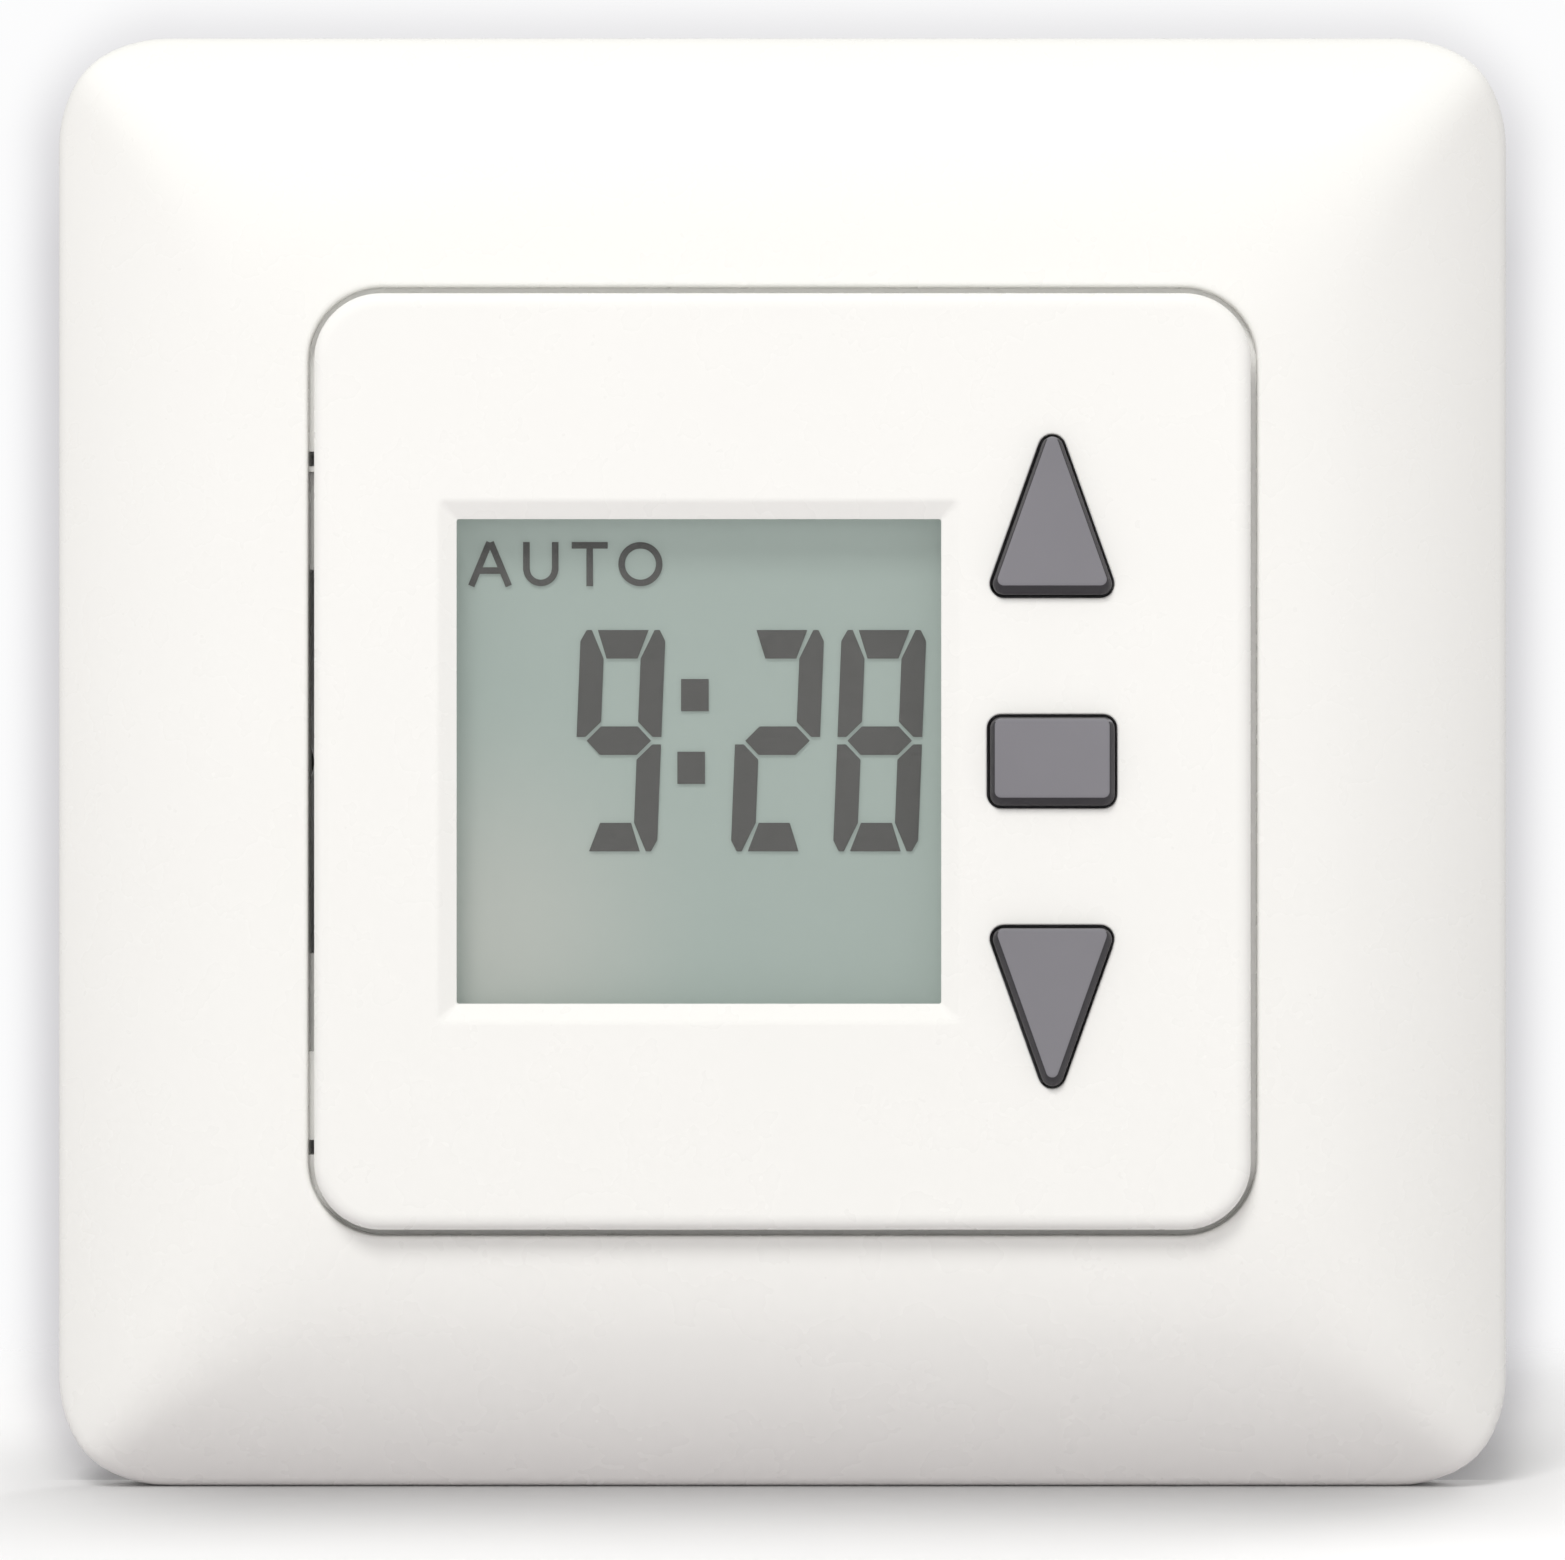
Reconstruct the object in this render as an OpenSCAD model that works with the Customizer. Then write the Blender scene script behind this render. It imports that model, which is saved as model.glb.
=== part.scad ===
// Flush-mounted clock thermostat: a square cover frame, a plug-on display unit
// with three keys, a steel mounting plate, and a power unit that sits in the wall box.
//
// Every module is drawn in the wall's own axes: x to the right, y up, and z out of
// the wall towards the room, with z = 0 on the wall. on_wall() then turns the whole
// part so that +Z is up and the face looks along -Y. All sizes are millimetres.

/* [Cover frame] */
// Width and height of the square cover frame
frame_w = 80; // [78:0.5:86]
// Radius of the frame's outer corners
frame_corner_r = 6; // [4:0.5:8]
// Height of the frame's straight outer edge above the wall
frame_edge_d = 2.8; // [2.2:0.1:3.4]
// Radius of the curve that the four sides bulge with
frame_bulge_r = 23.5; // [22:0.5:26]
// Thickness of the frame's wall
frame_wall = 1.8; // [1.4:0.1:2.2]

/* [Display unit] */
// Width and height of the square front cover
cover_w = 50.5; // [50:0.1:51]
// Radius of the front cover's corners
cover_corner_r = 3.6; // [3:0.1:4.5]
// Gap between the front cover and the frame
reveal = 0.32; // [0.25:0.01:0.45]
// Thickness of the front cover's face
face_t = 1.6; // [1.4:0.1:2]
// Visible width and height of the display
window_w = 26.1; // [25:0.1:26.5]
// Width of the slope round the display
window_slope = 1; // [0.8:0.1:1]
// How far the display's lens lies below the face
window_depth = 0.7; // [0.6:0.1:0.8]
// Distance of the display's centre to the left of the unit's centre
window_shift = 4.5; // [4.4:0.1:4.8]

/* [Keys] */
// Distance of the keys' centre line to the right of the unit's centre
key_x = 14.5; // [14.3:0.1:14.8]
// Height of the up key's base line and depth of the down key's base line
arrow_base = 8.8; // [8.7:0.1:9.2]
// Length of the arrow keys from base to tip
arrow_l = 8.8; // [8.2:0.1:9]
// Width of the arrow keys at the base
arrow_w = 6.7; // [6.2:0.1:6.9]
// Width of the middle key
set_w = 7; // [6.4:0.1:7.1]
// Height of the middle key
set_h = 5.05; // [4.6:0.05:5.4]
// Gap round each key
key_gap = 0.15; // [0.12:0.01:0.2]
// How far the keys stand out of the face
key_proud = 0.75; // [0.7:0.05:1]
// How far a key goes in when pressed
key_travel = 0.5; // [0.3:0.1:0.5]

/* [Mounting plate] */
// Width and height of the steel plate
plate_w = 71; // [70:0.5:72]
// Thickness of the steel plate
plate_t = 1; // [0.9:0.1:1.1]
// Distance between the two screws of a wall box
box_screw_pitch = 60; // [60:0.1:60.2]
// Width of the slots for the wall box screws
box_slot_w = 3.6; // [3.4:0.1:4]
// Length of the slots from end to end
box_slot_l = 8; // [6:0.5:8]
// Distance between the corner holes for screws straight into the wall
wall_screw_pitch = 56; // [54:1:60]
// Width of the corner holes
wall_screw_hole_w = 3.4; // [3:0.1:4]

/* [Power unit] */
// Width and height of the housing that goes into the wall box
housing_w = 44; // [44:0.1:44.4]
// Depth of the housing behind the wall's face
housing_d = 25; // [25:0.5:28]
// Thickness of the housing's walls
housing_wall = 1.6; // [1.5:0.05:1.7]
// Number of wire terminals
terminal_count = 5; // [3:1:5]
// Distance between neighbouring terminals
terminal_pitch = 5.08; // [5:0.01:5.08]

/* [Hidden] */
$fn = 64;
eps = 0.01;
slack = 0.1;

// Heights of the layers above the wall, from the plate out to the keys.
base_cover_t = 1;
base_cover_front = plate_t + base_cover_t;
unit_back_z = base_cover_front + 0.2;
unit_back_t = 1;
board_z = unit_back_z + unit_back_t + 0.2;
board_t = 1.2;
board_front = board_z + board_t;
switch_w = 6;
switch_body_h = 3.5;
switch_h = 4.3;
key_flange_z = board_front + switch_h;
key_flange_t = 0.7;
face_back = key_flange_z + key_flange_t + slack;
face_front = face_back + face_t;
key_top = face_front + key_proud;

// The frame's opening, its ledge, and the display unit's skirt that passes through.
frame_half = frame_w / 2;
opening_w = cover_w + 2 * reveal;
opening_r = cover_corner_r + reveal;
rim_back = face_front - 2.2;
ledge_z = rim_back - slack;
ledge_t = 1.8;
ledge_w = 46;
skirt_w = 45.2;
skirt_r = 3;
skirt_wall = 1.4;
skirt_inner_w = skirt_w - 2 * skirt_wall;
bulge_slope = 46.6;

// The display: lens, liquid crystal cell, holder.
lens_w = window_w + 1.5;
lens_t = 0.9;
lens_front = face_front - window_depth;
lens_back = lens_front - lens_t;
cell_gap = 0.1;
polariser_t = 0.15;
glass_t = 0.65;
reflector_t = 0.25;
front_glass_z = lens_back - slack - polariser_t - glass_t;
rear_glass_z = front_glass_z - cell_gap - glass_t;
reflector_z = rear_glass_z - reflector_t;
glass_w = lens_w + 0.4;
front_glass_h = 32.8;
rear_glass_h = 28.6;
strip_w = 1.8;
strip_y = (rear_glass_h + strip_w) / 2 + 0.2;
holder_left = 1.2;
holder_right = 0.7;
holder_h = front_glass_h + 1.2;
holder_top = front_glass_z + glass_t - 0.1;
segment_t = 0.04;
segment_z = front_glass_z - cell_gap / 2 - segment_t / 2;

// Keys and the switches under them, from the top key down.
key_corner_r = 0.75;
key_flange = 0.5;
arrow_switch_y = arrow_base + arrow_l / 3 + 0.2;
switch_ys = [arrow_switch_y, 0, -arrow_switch_y];
plunger_r = 1.7;
plunger_bore_r = 1.78;
plunger_l = 2.3;
dome_z = key_flange_z - plunger_l - key_travel - 0.7;

// Screws that hold the display unit together.
unit_screw_xy = 19.25;
unit_boss_r = 2.1;
unit_screw_r = 0.8;
unit_screw_l = 6.2;
unit_screw_head_r = 1.5;
unit_screw_head_t = 0.7;

// Screws that clamp the base cover and the plate to the housing.
base_screw_xy = 16.5;
base_boss_r = 2.9;
base_screw_r = 0.95;
base_screw_l = 9;
base_screw_head_r = 1.9;
base_screw_head_t = 0.9;

// Plug connection between the two boards.
pin_count = 8;
pin_pitch = 2.54;
pin_w = 0.6;
plug_x = -1;
plug_y = 6.2;
strip_l = pin_count * pin_pitch;
header_z = 0.9;
socket_front = 0.5;
pin_tip_z = -3;

// Tongues that guide the display unit into the base cover.
tongue_x = 18;
tongue_w = 6;
tongue_t = 1.2;
tongue_tip_z = -3.2;

// Power unit: its board and what stands on it.
housing_r = 8;
housing_inner_w = housing_w - 2 * housing_wall;
housing_floor = -housing_d + housing_wall;
power_board_t = 1.6;
power_board_front = -5;
power_board_back = power_board_front - power_board_t;
power_board_w = 40;
socket_foot_z = power_board_front + 0.8;
power_board_arm_w = 26.4;
relay_l = 29;
relay_w = 12.7;
relay_h = 15.6;
relay_y = -2.05;
relay_wall = 0.8;
relay_base_t = 1.5;
relay_front = power_board_back - slack;
armature_z = relay_front - 12.9;
armature_t = 1;
armature_pivot_x = -12.8;
contact_x = 8.6;
contact_gap = 0.95;
terminal_block_h = 14;
terminal_block_d = 10;
terminal_block_y = -15;
terminal_block_l = terminal_count * terminal_pitch + 0.6;
terminal_back = power_board_back - terminal_block_h;
chamber_w = 4;
chamber_z = -16.6;
chamber_h = 5.6;
wire_hole_w = 3.8;
wire_hole_h = 3.6;
terminal_screw_r = 1.2;
terminal_head_r = 1.9;

// Turns the wall's axes into the part's own: the face looks along -Y and +Z is up.
module on_wall() {
    rotate([90, 0, 0]) children();
}

// A flat slab from z = bottom up by t, of the 2D shape given.
module slab(bottom, t) {
    translate([0, 0, bottom]) linear_extrude(t) children();
}

module rounded_rect(w, h, r) {
    square([w - 2 * r, h], center = true);
    square([w, h - 2 * r], center = true);
    for (sx = [-1, 1], sy = [-1, 1])
        translate([sx * (w / 2 - r), sy * (h / 2 - r)]) circle(r);
}

module rounded_square(w, r) {
    rounded_rect(w, w, r);
}

// Puts a copy of the children at the four corners of a square.
module at_corners(xy) {
    for (sx = [-1, 1], sy = [-1, 1]) translate([sx * xy, sy * xy]) children();
}

// A slot with round ends along x, or along y when upright.
module slot(l, w, upright = false) {
    rotate(upright ? 90 : 0) {
        square([l - w, w], center = true);
        for (s = [-1, 1]) translate([s * (l - w) / 2, 0]) circle(w / 2);
    }
}

// A square block whose four sides lean, w_low wide at z = 0 and w_high wide at z = h.
module square_funnel(w_low, w_high, h) {
    half = max(w_low, w_high);
    side = [[-w_low / 2, 0], [w_low / 2, 0], [w_high / 2, h], [-w_high / 2, h]];
    intersection() {
        translate([0, half, 0]) rotate([90, 0, 0]) linear_extrude(2 * half) polygon(side);
        translate([-half, 0, 0]) rotate([90, 0, 90]) linear_extrude(2 * half) polygon(side);
    }
}

// ---------------------------------------------------------------- cover frame

// Outline of the bulging frame seen from its side, shrunk by inset all round.
module bulge_side(inset) {
    r = frame_bulge_r - inset;
    centre_x = frame_half - frame_bulge_r * sin(bulge_slope);
    centre_z = frame_edge_d - frame_bulge_r * cos(bulge_slope);
    intersection() {
        translate([-frame_half + inset, -1])
            square([frame_w - 2 * inset, frame_bulge_r]);
        union() {
            for (s = [-1, 1]) translate([s * centre_x, centre_z]) circle(r);
            translate([-centre_x, -1]) square([2 * centre_x, centre_z + r + 1]);
        }
    }
}

// The solid under the bulging face: the same outline swept both ways, with round corners.
module bulge(inset) {
    intersection() {
        translate([0, frame_w, 0]) rotate([90, 0, 0])
            linear_extrude(2 * frame_w) bulge_side(inset);
        translate([-frame_w, 0, 0]) rotate([90, 0, 90])
            linear_extrude(2 * frame_w) bulge_side(inset);
        slab(0, frame_bulge_r) rounded_square(frame_w - 2 * inset, frame_corner_r - inset);
    }
}

module cover_frame() {
    ring_w = opening_w + 5;
    deep_notch_l = 20.8;
    half_notch_l = 31.4;
    dot_w = 0.8;
    rib_ys = [-30, -18, -6, 6, 18, 30];
    rib_h = 0.8;
    color("white") difference() {
        bulge(0);
        difference() {
            translate([0, 0, -eps]) bulge(frame_wall);
            slab(ledge_z - ledge_t, ledge_t + 5) rounded_square(ring_w, opening_r + 2);
            difference() {
                for (turn = [0, 90], y = rib_ys)
                    rotate(turn) translate([-frame_half, y - 0.5, plate_t + 1])
                        cube([frame_w, 1, frame_bulge_r]);
                translate([0, 0, -eps]) bulge(frame_wall + rib_h);
            }
        }
        slab(ledge_z, 5) rounded_square(opening_w, opening_r);
        slab(-1, frame_bulge_r) rounded_square(ledge_w, skirt_r + 0.4);
        slab(-1, ledge_z - ledge_t + 1) rounded_square(opening_w, opening_r);
        // The left side's ledge is cut away so that room air can reach the sensor.
        slab(0, frame_bulge_r) translate([-opening_w / 2, -deep_notch_l / 2])
            square([(opening_w - ledge_w) / 2 + 1, deep_notch_l]);
        slab(ledge_z - 0.9, 5) translate([-opening_w / 2, -half_notch_l / 2])
            square([(opening_w - ledge_w) / 2 + 1, half_notch_l]);
        for (y = [16.4, -20.9])
            slab(ledge_z - ledge_t - 1, 9) translate([-opening_w / 2, y - dot_w / 2])
                square([(opening_w - ledge_w) / 2 + 1, dot_w]);
    }
}

// ------------------------------------------------------------- mounting plate

module mounting_plate() {
    color("silver") slab(0, plate_t) difference() {
        rounded_square(plate_w, 4);
        intersection() {
            rounded_square(40, 3);
            circle(21.2);
        }
        at_corners(base_screw_xy) circle(base_screw_r + 0.2);
        at_corners(wall_screw_pitch / 2) circle(wall_screw_hole_w / 2);
        for (s = [-1, 1]) {
            translate([s * box_screw_pitch / 2, 0]) slot(box_slot_l, box_slot_w);
            translate([0, s * box_screw_pitch / 2])
                slot(box_slot_l, box_slot_w, upright = true);
        }
    }
}

// ------------------------------------------------------------------ power unit

module base_cover() {
    color("whitesmoke") difference() {
        slab(plate_t, base_cover_t) difference() {
            rounded_square(45, 4);
            translate([plug_x, plug_y]) square([strip_l + 1, 3.6], center = true);
            for (s = [-1, 1]) translate([s * tongue_x, 0])
                square([tongue_t + 0.4, tongue_w + 0.4], center = true);
            at_corners(base_screw_xy) circle(base_screw_r + 0.15);
        }
        at_corners(base_screw_xy) translate([0, 0, base_cover_front - base_screw_head_t])
            cylinder(h = base_screw_head_t + eps, r1 = base_screw_r + 0.15,
                     r2 = base_screw_head_r + 0.15);
    }
}

// A countersunk screw along -z with its flat head on z = 0 and a cross recess.
module countersunk_screw(r, l, head_r, head_t) {
    recess = 0.35 * head_r;
    difference() {
        union() {
            translate([0, 0, -l]) cylinder(h = l, r = r);
            translate([0, 0, -head_t]) cylinder(h = head_t, r1 = r, r2 = head_r);
        }
        for (turn = [0, 90]) rotate(turn)
            cube([head_r * 1.1, recess, head_t], center = true);
    }
}

module base_screws() {
    color("gainsboro") at_corners(base_screw_xy) translate([0, 0, base_cover_front])
        countersunk_screw(base_screw_r, base_screw_l, base_screw_head_r, base_screw_head_t);
}

// Centres of the terminals along x.
function terminal_x(i) = (i - (terminal_count - 1) / 2) * terminal_pitch;

module base_housing() {
    wall_y = -housing_w / 2;
    vent_count = 6;
    board_rib_h = power_board_back - housing_floor;
    color("whitesmoke") difference() {
        union() {
            difference() {
                slab(-housing_d, housing_d) rounded_square(housing_w, housing_r);
                slab(housing_floor, housing_d)
                    rounded_square(housing_inner_w, housing_r - housing_wall);
            }
            intersection() {
                slab(-housing_d, housing_d) rounded_square(housing_w, housing_r);
                slab(housing_floor - eps, -housing_floor + eps)
                    at_corners(base_screw_xy) circle(base_boss_r);
            }
            for (s = [-1, 1], y = [-10.5, 10.5])
                slab(housing_floor - eps, board_rib_h + eps)
                    translate([s * (housing_inner_w - 1.2) / 2, y]) square([1.4, 3], center = true);
        }
        at_corners(base_screw_xy) translate([0, 0, -base_screw_l])
            cylinder(h = base_screw_l + eps, r = base_screw_r + 0.05);
        for (i = [0 : terminal_count - 1]) translate([terminal_x(i), 0]) {
            translate([0, terminal_block_y, -housing_d - eps])
                cylinder(h = housing_wall + 2 * eps, r = terminal_head_r + 0.3);
            translate([0, wall_y, chamber_z + chamber_h / 2])
                cube([wire_hole_w, 4, wire_hole_h], center = true);
        }
        for (i = [0 : vent_count - 1])
            slab(-housing_d - eps, housing_wall + 2 * eps)
                translate([(i - (vent_count - 1) / 2) * 3.2, 12])
                    slot(9, 1.3, upright = true);
    }
}

module power_board() {
    color("darkgreen") slab(power_board_back, power_board_t) difference() {
        union() {
            square([power_board_w, power_board_arm_w], center = true);
            square([power_board_arm_w, power_board_w], center = true);
        }
        for (i = [0 : pin_count - 1]) translate([pin_x(i), plug_y])
            square(0.7, center = true);
    }
}

// Small chip parts, each [x, y, width, height, thickness], on the face at z.
module chips(list, z) {
    for (c = list) translate([c[0] - c[2] / 2, c[1] - c[3] / 2, z]) cube([c[2], c[3], c[4]]);
}

module power_board_chips() {
    chip_list = [
        [-15, 2, 3.2, 1.6, 0.6], [-15, -2, 3.2, 1.6, 0.6], [-15, -6, 2, 1.25, 0.9],
        [-8, -2, 2, 1.25, 0.6], [-4, -2, 2, 1.25, 0.6], [0, -2, 2, 1.25, 0.9],
        [5, -3, 4.9, 3.9, 1.5], [12, -4, 3.2, 1.6, 0.6], [12, -8, 3.2, 1.6, 0.6],
        [-6, -9, 2.8, 1.3, 1], [0, -9, 2.8, 1.3, 1], [6, -10, 2, 1.25, 0.6]
    ];
    color("dimgray") chips(chip_list, power_board_front);
}

module rectifier() {
    color("black") {
        translate([-4, 10.5, power_board_front + 0.3]) cube([8, 6.2, 2.6]);
        for (x = [-5, 3.8], y = [11.1, 14.9])
            translate([x, y, power_board_front]) cube([1.2, 1.2, 1]);
    }
}

// Centres of the plug's pins along x.
function pin_x(i) = plug_x + (i - (pin_count - 1) / 2) * pin_pitch;

module socket_strip() {
    hole_depth = socket_front - socket_foot_z;
    color("black") difference() {
        translate([plug_x - strip_l / 2, plug_y - 1.25, power_board_front])
            cube([strip_l, 2.5, socket_front - power_board_front]);
        for (i = [0 : pin_count - 1])
            translate([pin_x(i) - 0.65, plug_y - 0.45, socket_foot_z])
                cube([1.3, 0.9, hole_depth + eps]);
        for (i = [0 : pin_count - 1])
            translate([pin_x(i), plug_y, power_board_front])
                cube([0.56, 0.56, 3], center = true);
    }
}

// Forked springs that grip the pins, each with a tail through the board.
module socket_contacts() {
    tail_z = power_board_back - 1.2;
    color("goldenrod") for (i = [0 : pin_count - 1]) translate([pin_x(i), plug_y, 0]) {
        for (s = [-1, 1]) translate([s * 0.46, 0, socket_foot_z + 1.6])
            cube([0.14, 0.7, 3.2], center = true);
        translate([0, 0, socket_foot_z + 0.1]) cube([1.06, 0.7, 0.2], center = true);
        translate([0, 0, (socket_foot_z + tail_z) / 2])
            cube([0.5, 0.5, socket_foot_z - tail_z], center = true);
    }
}

module relay_case() {
    color("royalblue") difference() {
        translate([-relay_l / 2, relay_y - relay_w / 2, relay_front - relay_h])
            cube([relay_l, relay_w, relay_h]);
        translate([-relay_l / 2 + relay_wall, relay_y - relay_w / 2 + relay_wall,
                   relay_front - relay_h + relay_wall])
            cube([relay_l - 2 * relay_wall, relay_w - 2 * relay_wall, relay_h]);
    }
}

module relay_base() {
    w = relay_w - 2 * relay_wall - 0.1;
    color("black") translate([-relay_l / 2 + relay_wall + 0.05, relay_y - w / 2,
                              relay_front - relay_base_t])
        cube([relay_l - 2 * relay_wall - 0.1, w, relay_base_t]);
}

coil_x = -7;
coil_front = relay_front - relay_base_t - 1;
coil_h = 9;

module relay_coil() {
    profile = [[1.7, 0], [4.7, 0], [4.7, 0.7], [4.3, 0.7], [4.3, coil_h - 0.7],
               [4.7, coil_h - 0.7], [4.7, coil_h], [1.7, coil_h]];
    color("chocolate") translate([coil_x, relay_y, coil_front - coil_h])
        rotate_extrude() polygon(profile);
}

module relay_yoke() {
    leg_x = armature_pivot_x - 0.6;
    leg_back = armature_z + armature_t / 2 + slack;
    color("lightslategray") {
        translate([leg_x, relay_y - 4.5, coil_front])
            cube([coil_x - leg_x + 3, 9, 0.9]);
        translate([leg_x, relay_y - 4.5, leg_back])
            cube([1, 9, coil_front - leg_back + eps]);
        translate([coil_x, relay_y, coil_front - coil_h - 0.6])
            cylinder(h = coil_h + 0.6 + eps, r = 1.6);
    }
}

module relay_armature() {
    color("lightslategray")
        translate([armature_pivot_x, relay_y - 4, armature_z]) {
            translate([0, 0, -armature_t / 2]) cube([11.4, 8, armature_t]);
            rotate([-90, 0, 0]) cylinder(h = 8, r = armature_t / 2);
        }
}

module relay_contact_arm() {
    arm_back = armature_z - armature_t / 2 - 0.3;
    color("peru") {
        translate([-7, relay_y - 2, arm_back]) cube([contact_x + 8.6, 4, 0.3]);
        translate([contact_x, relay_y, arm_back + 0.3 - eps]) cylinder(h = 0.7, r = 1.3);
    }
}

module relay_fixed_contact() {
    contact_back = armature_z - armature_t / 2 + 0.7 + contact_gap;
    post_front = relay_front - relay_base_t;
    color("peru") {
        translate([contact_x, relay_y, contact_back]) cylinder(h = 0.7, r = 1.3);
        translate([contact_x - 1.6, relay_y - 2, contact_back + 0.7 - eps])
            cube([3.8, 4, 0.6]);
        translate([contact_x + 1.6, relay_y - 2, contact_back + 0.7])
            cube([0.6, 4, post_front - contact_back - 0.7]);
    }
}

module mains_capacitor() {
    color("gold") translate([-12, 8, power_board_back - 13]) cube([15, 6.5, 13]);
}

module smoothing_capacitor() {
    can = [[0, 0], [4.6, 0], [5, 0.4], [5, 2], [4.7, 2.4], [5, 2.8], [5, 12.6],
           [4.6, 13], [3.9, 13], [3.9, 12.7], [0, 12.7]];
    color("midnightblue") translate([8.2, 12.4, power_board_back]) mirror([0, 0, 1])
        rotate_extrude() polygon(can);
}

module surge_varistor() {
    color("steelblue") translate([15.4, -1.5, power_board_back - 5.4]) {
        rotate([0, 90, 0]) cylinder(h = 3.8, r = 4.5);
        for (s = [-1, 1]) translate([1.9, s * 2.5, 0]) cylinder(h = 5.4, r = 0.4);
    }
}

module fusible_resistor() {
    body_l = 9;
    body_z = power_board_back - 2.3;
    color("seagreen") {
        translate([-16.5, 8 + body_l / 2, body_z]) rotate([90, 0, 0])
            cylinder(h = body_l, r = 1.5);
        for (s = [-1, 1]) {
            translate([-16.5, 8 + s * (body_l / 2 - 0.9), body_z]) rotate([90, 0, 0])
                cylinder(h = 1.8, r = 1.75, center = true);
            translate([-16.5, 8 + s * (body_l / 2 + 0.3), body_z - 0.35])
                cylinder(h = 2.65, r = 0.35);
        }
    }
}

module terminal_block() {
    front_y = terminal_block_y - terminal_block_d / 2;
    color("dimgray") difference() {
        translate([-terminal_block_l / 2, front_y, terminal_back])
            cube([terminal_block_l, terminal_block_d, terminal_block_h]);
        for (i = [0 : terminal_count - 1]) translate([terminal_x(i), 0]) {
            translate([0, front_y + 4.2, chamber_z + chamber_h / 2])
                cube([chamber_w, 8.4 + eps, chamber_h], center = true);
            translate([0, terminal_block_y, terminal_back - eps])
                cylinder(h = chamber_z - terminal_back + 2 * eps, r = terminal_head_r + 0.1);
        }
    }
}

// The brass cages that rise and pinch the wire when the screw turns.
module terminal_clamps() {
    cage_w = chamber_w - 0.2;
    cage_l = 5.6;
    cage_h = chamber_h - 0.4;
    wall = 0.7;
    color("darkgoldenrod") for (i = [0 : terminal_count - 1])
        translate([terminal_x(i), terminal_block_y, chamber_z + 0.2]) difference() {
            translate([0, 0, cage_h / 2]) cube([cage_w, cage_l, cage_h], center = true);
            translate([0, 0, cage_h / 2 + 0.2])
                cube([cage_w - 2 * wall, cage_l + 1, cage_h - 2 * wall - 0.4], center = true);
            translate([0, 0, -eps]) cylinder(h = wall + 1, r = terminal_screw_r + 0.05);
        }
}

module terminal_screws() {
    head_t = 1.4;
    head_back = terminal_back + 0.4;
    shank_front = chamber_z + 2.2;
    color("silver") for (i = [0 : terminal_count - 1])
        translate([terminal_x(i), terminal_block_y, 0]) difference() {
            union() {
                translate([0, 0, head_back]) cylinder(h = head_t, r = terminal_head_r);
                translate([0, 0, head_back + head_t - eps])
                    cylinder(h = shank_front - head_back - head_t, r = terminal_screw_r);
            }
            translate([0, 0, head_back])
                cube([2 * terminal_head_r + 1, 0.6, 1.4], center = true);
        }
}

// ---------------------------------------------------------------- display unit

// Corner centres of the up key's rounded triangle, anticlockwise, on the key's line.
function arrow_corners() = [
    [-arrow_w / 2 + key_corner_r, arrow_base + key_corner_r],
    [arrow_w / 2 - key_corner_r, arrow_base + key_corner_r],
    [0, arrow_base + arrow_l - key_corner_r]
];

function unit_vector(a, b) = (b - a) / norm(b - a);

// The corners of the straight-sided outline that touches circles of radius r.
function tangent_points(corners, r) = [
    for (i = [0 : len(corners) - 1])
        let (a = corners[i], b = corners[(i + 1) % len(corners)], u = unit_vector(a, b))
            each [a + r * [u[1], -u[0]], b + r * [u[1], -u[0]]]
];

// Outline of a key, grown by grow all round. kind is 1 for up, 0 for set and -1 for down.
module key_outline(kind, grow) {
    r = key_corner_r + grow;
    translate([key_x, 0]) {
        if (kind == 0) rounded_rect(set_w + 2 * grow, set_h + 2 * grow, r);
        else mirror([0, kind < 0 ? 1 : 0]) {
            polygon(tangent_points(arrow_corners(), r));
            for (c = arrow_corners()) translate(c) circle(r);
        }
    }
}

module front_cover() {
    vent_l = 4.2;
    vent_z = board_front + 0.2;
    color("white") difference() {
        union() {
            slab(rim_back, face_front - rim_back) rounded_square(cover_w, cover_corner_r);
            slab(unit_back_z + unit_back_t, face_back - unit_back_z - unit_back_t)
                rounded_square(skirt_w, skirt_r);
        }
        slab(0, face_back) difference() {
            rounded_square(skirt_inner_w, skirt_r - skirt_wall);
            at_corners(unit_screw_xy) circle(unit_boss_r);
        }
        slab(0, board_front) rounded_square(skirt_inner_w, skirt_r - skirt_wall);
        at_corners(unit_screw_xy) translate([0, 0, board_front - eps])
            cylinder(h = 4, r = unit_screw_r + 0.05);
        for (kind = [-1, 0, 1]) slab(face_back - 1, face_t + 2) key_outline(kind, 0);
        translate([-window_shift, 0, 0]) {
            translate([0, 0, lens_front])
                square_funnel(window_w, window_w + 2 * window_slope, window_depth + eps);
            slab(face_back - 1, lens_front - face_back + 1 + eps)
                square(window_w, center = true);
            slab(face_back - 1, lens_front - face_back + 1) square(lens_w + 0.1, center = true);
        }
        // Slots that let room air reach the sensor, below and to the left.
        for (i = [-3 : 3])
            translate([-12 + i * 2.4, -skirt_w / 2, vent_z + vent_l / 2])
                cube([1.2, 2 * skirt_wall + 1, vent_l], center = true);
        for (i = [-3 : 3])
            translate([-skirt_w / 2, i * 2.4, vent_z + vent_l / 2])
                cube([2 * skirt_wall + 1, 1.2, vent_l], center = true);
    }
}

// The children, moved to the display's centre.
module at_window() {
    translate([-window_shift, 0, 0]) children();
}

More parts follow.
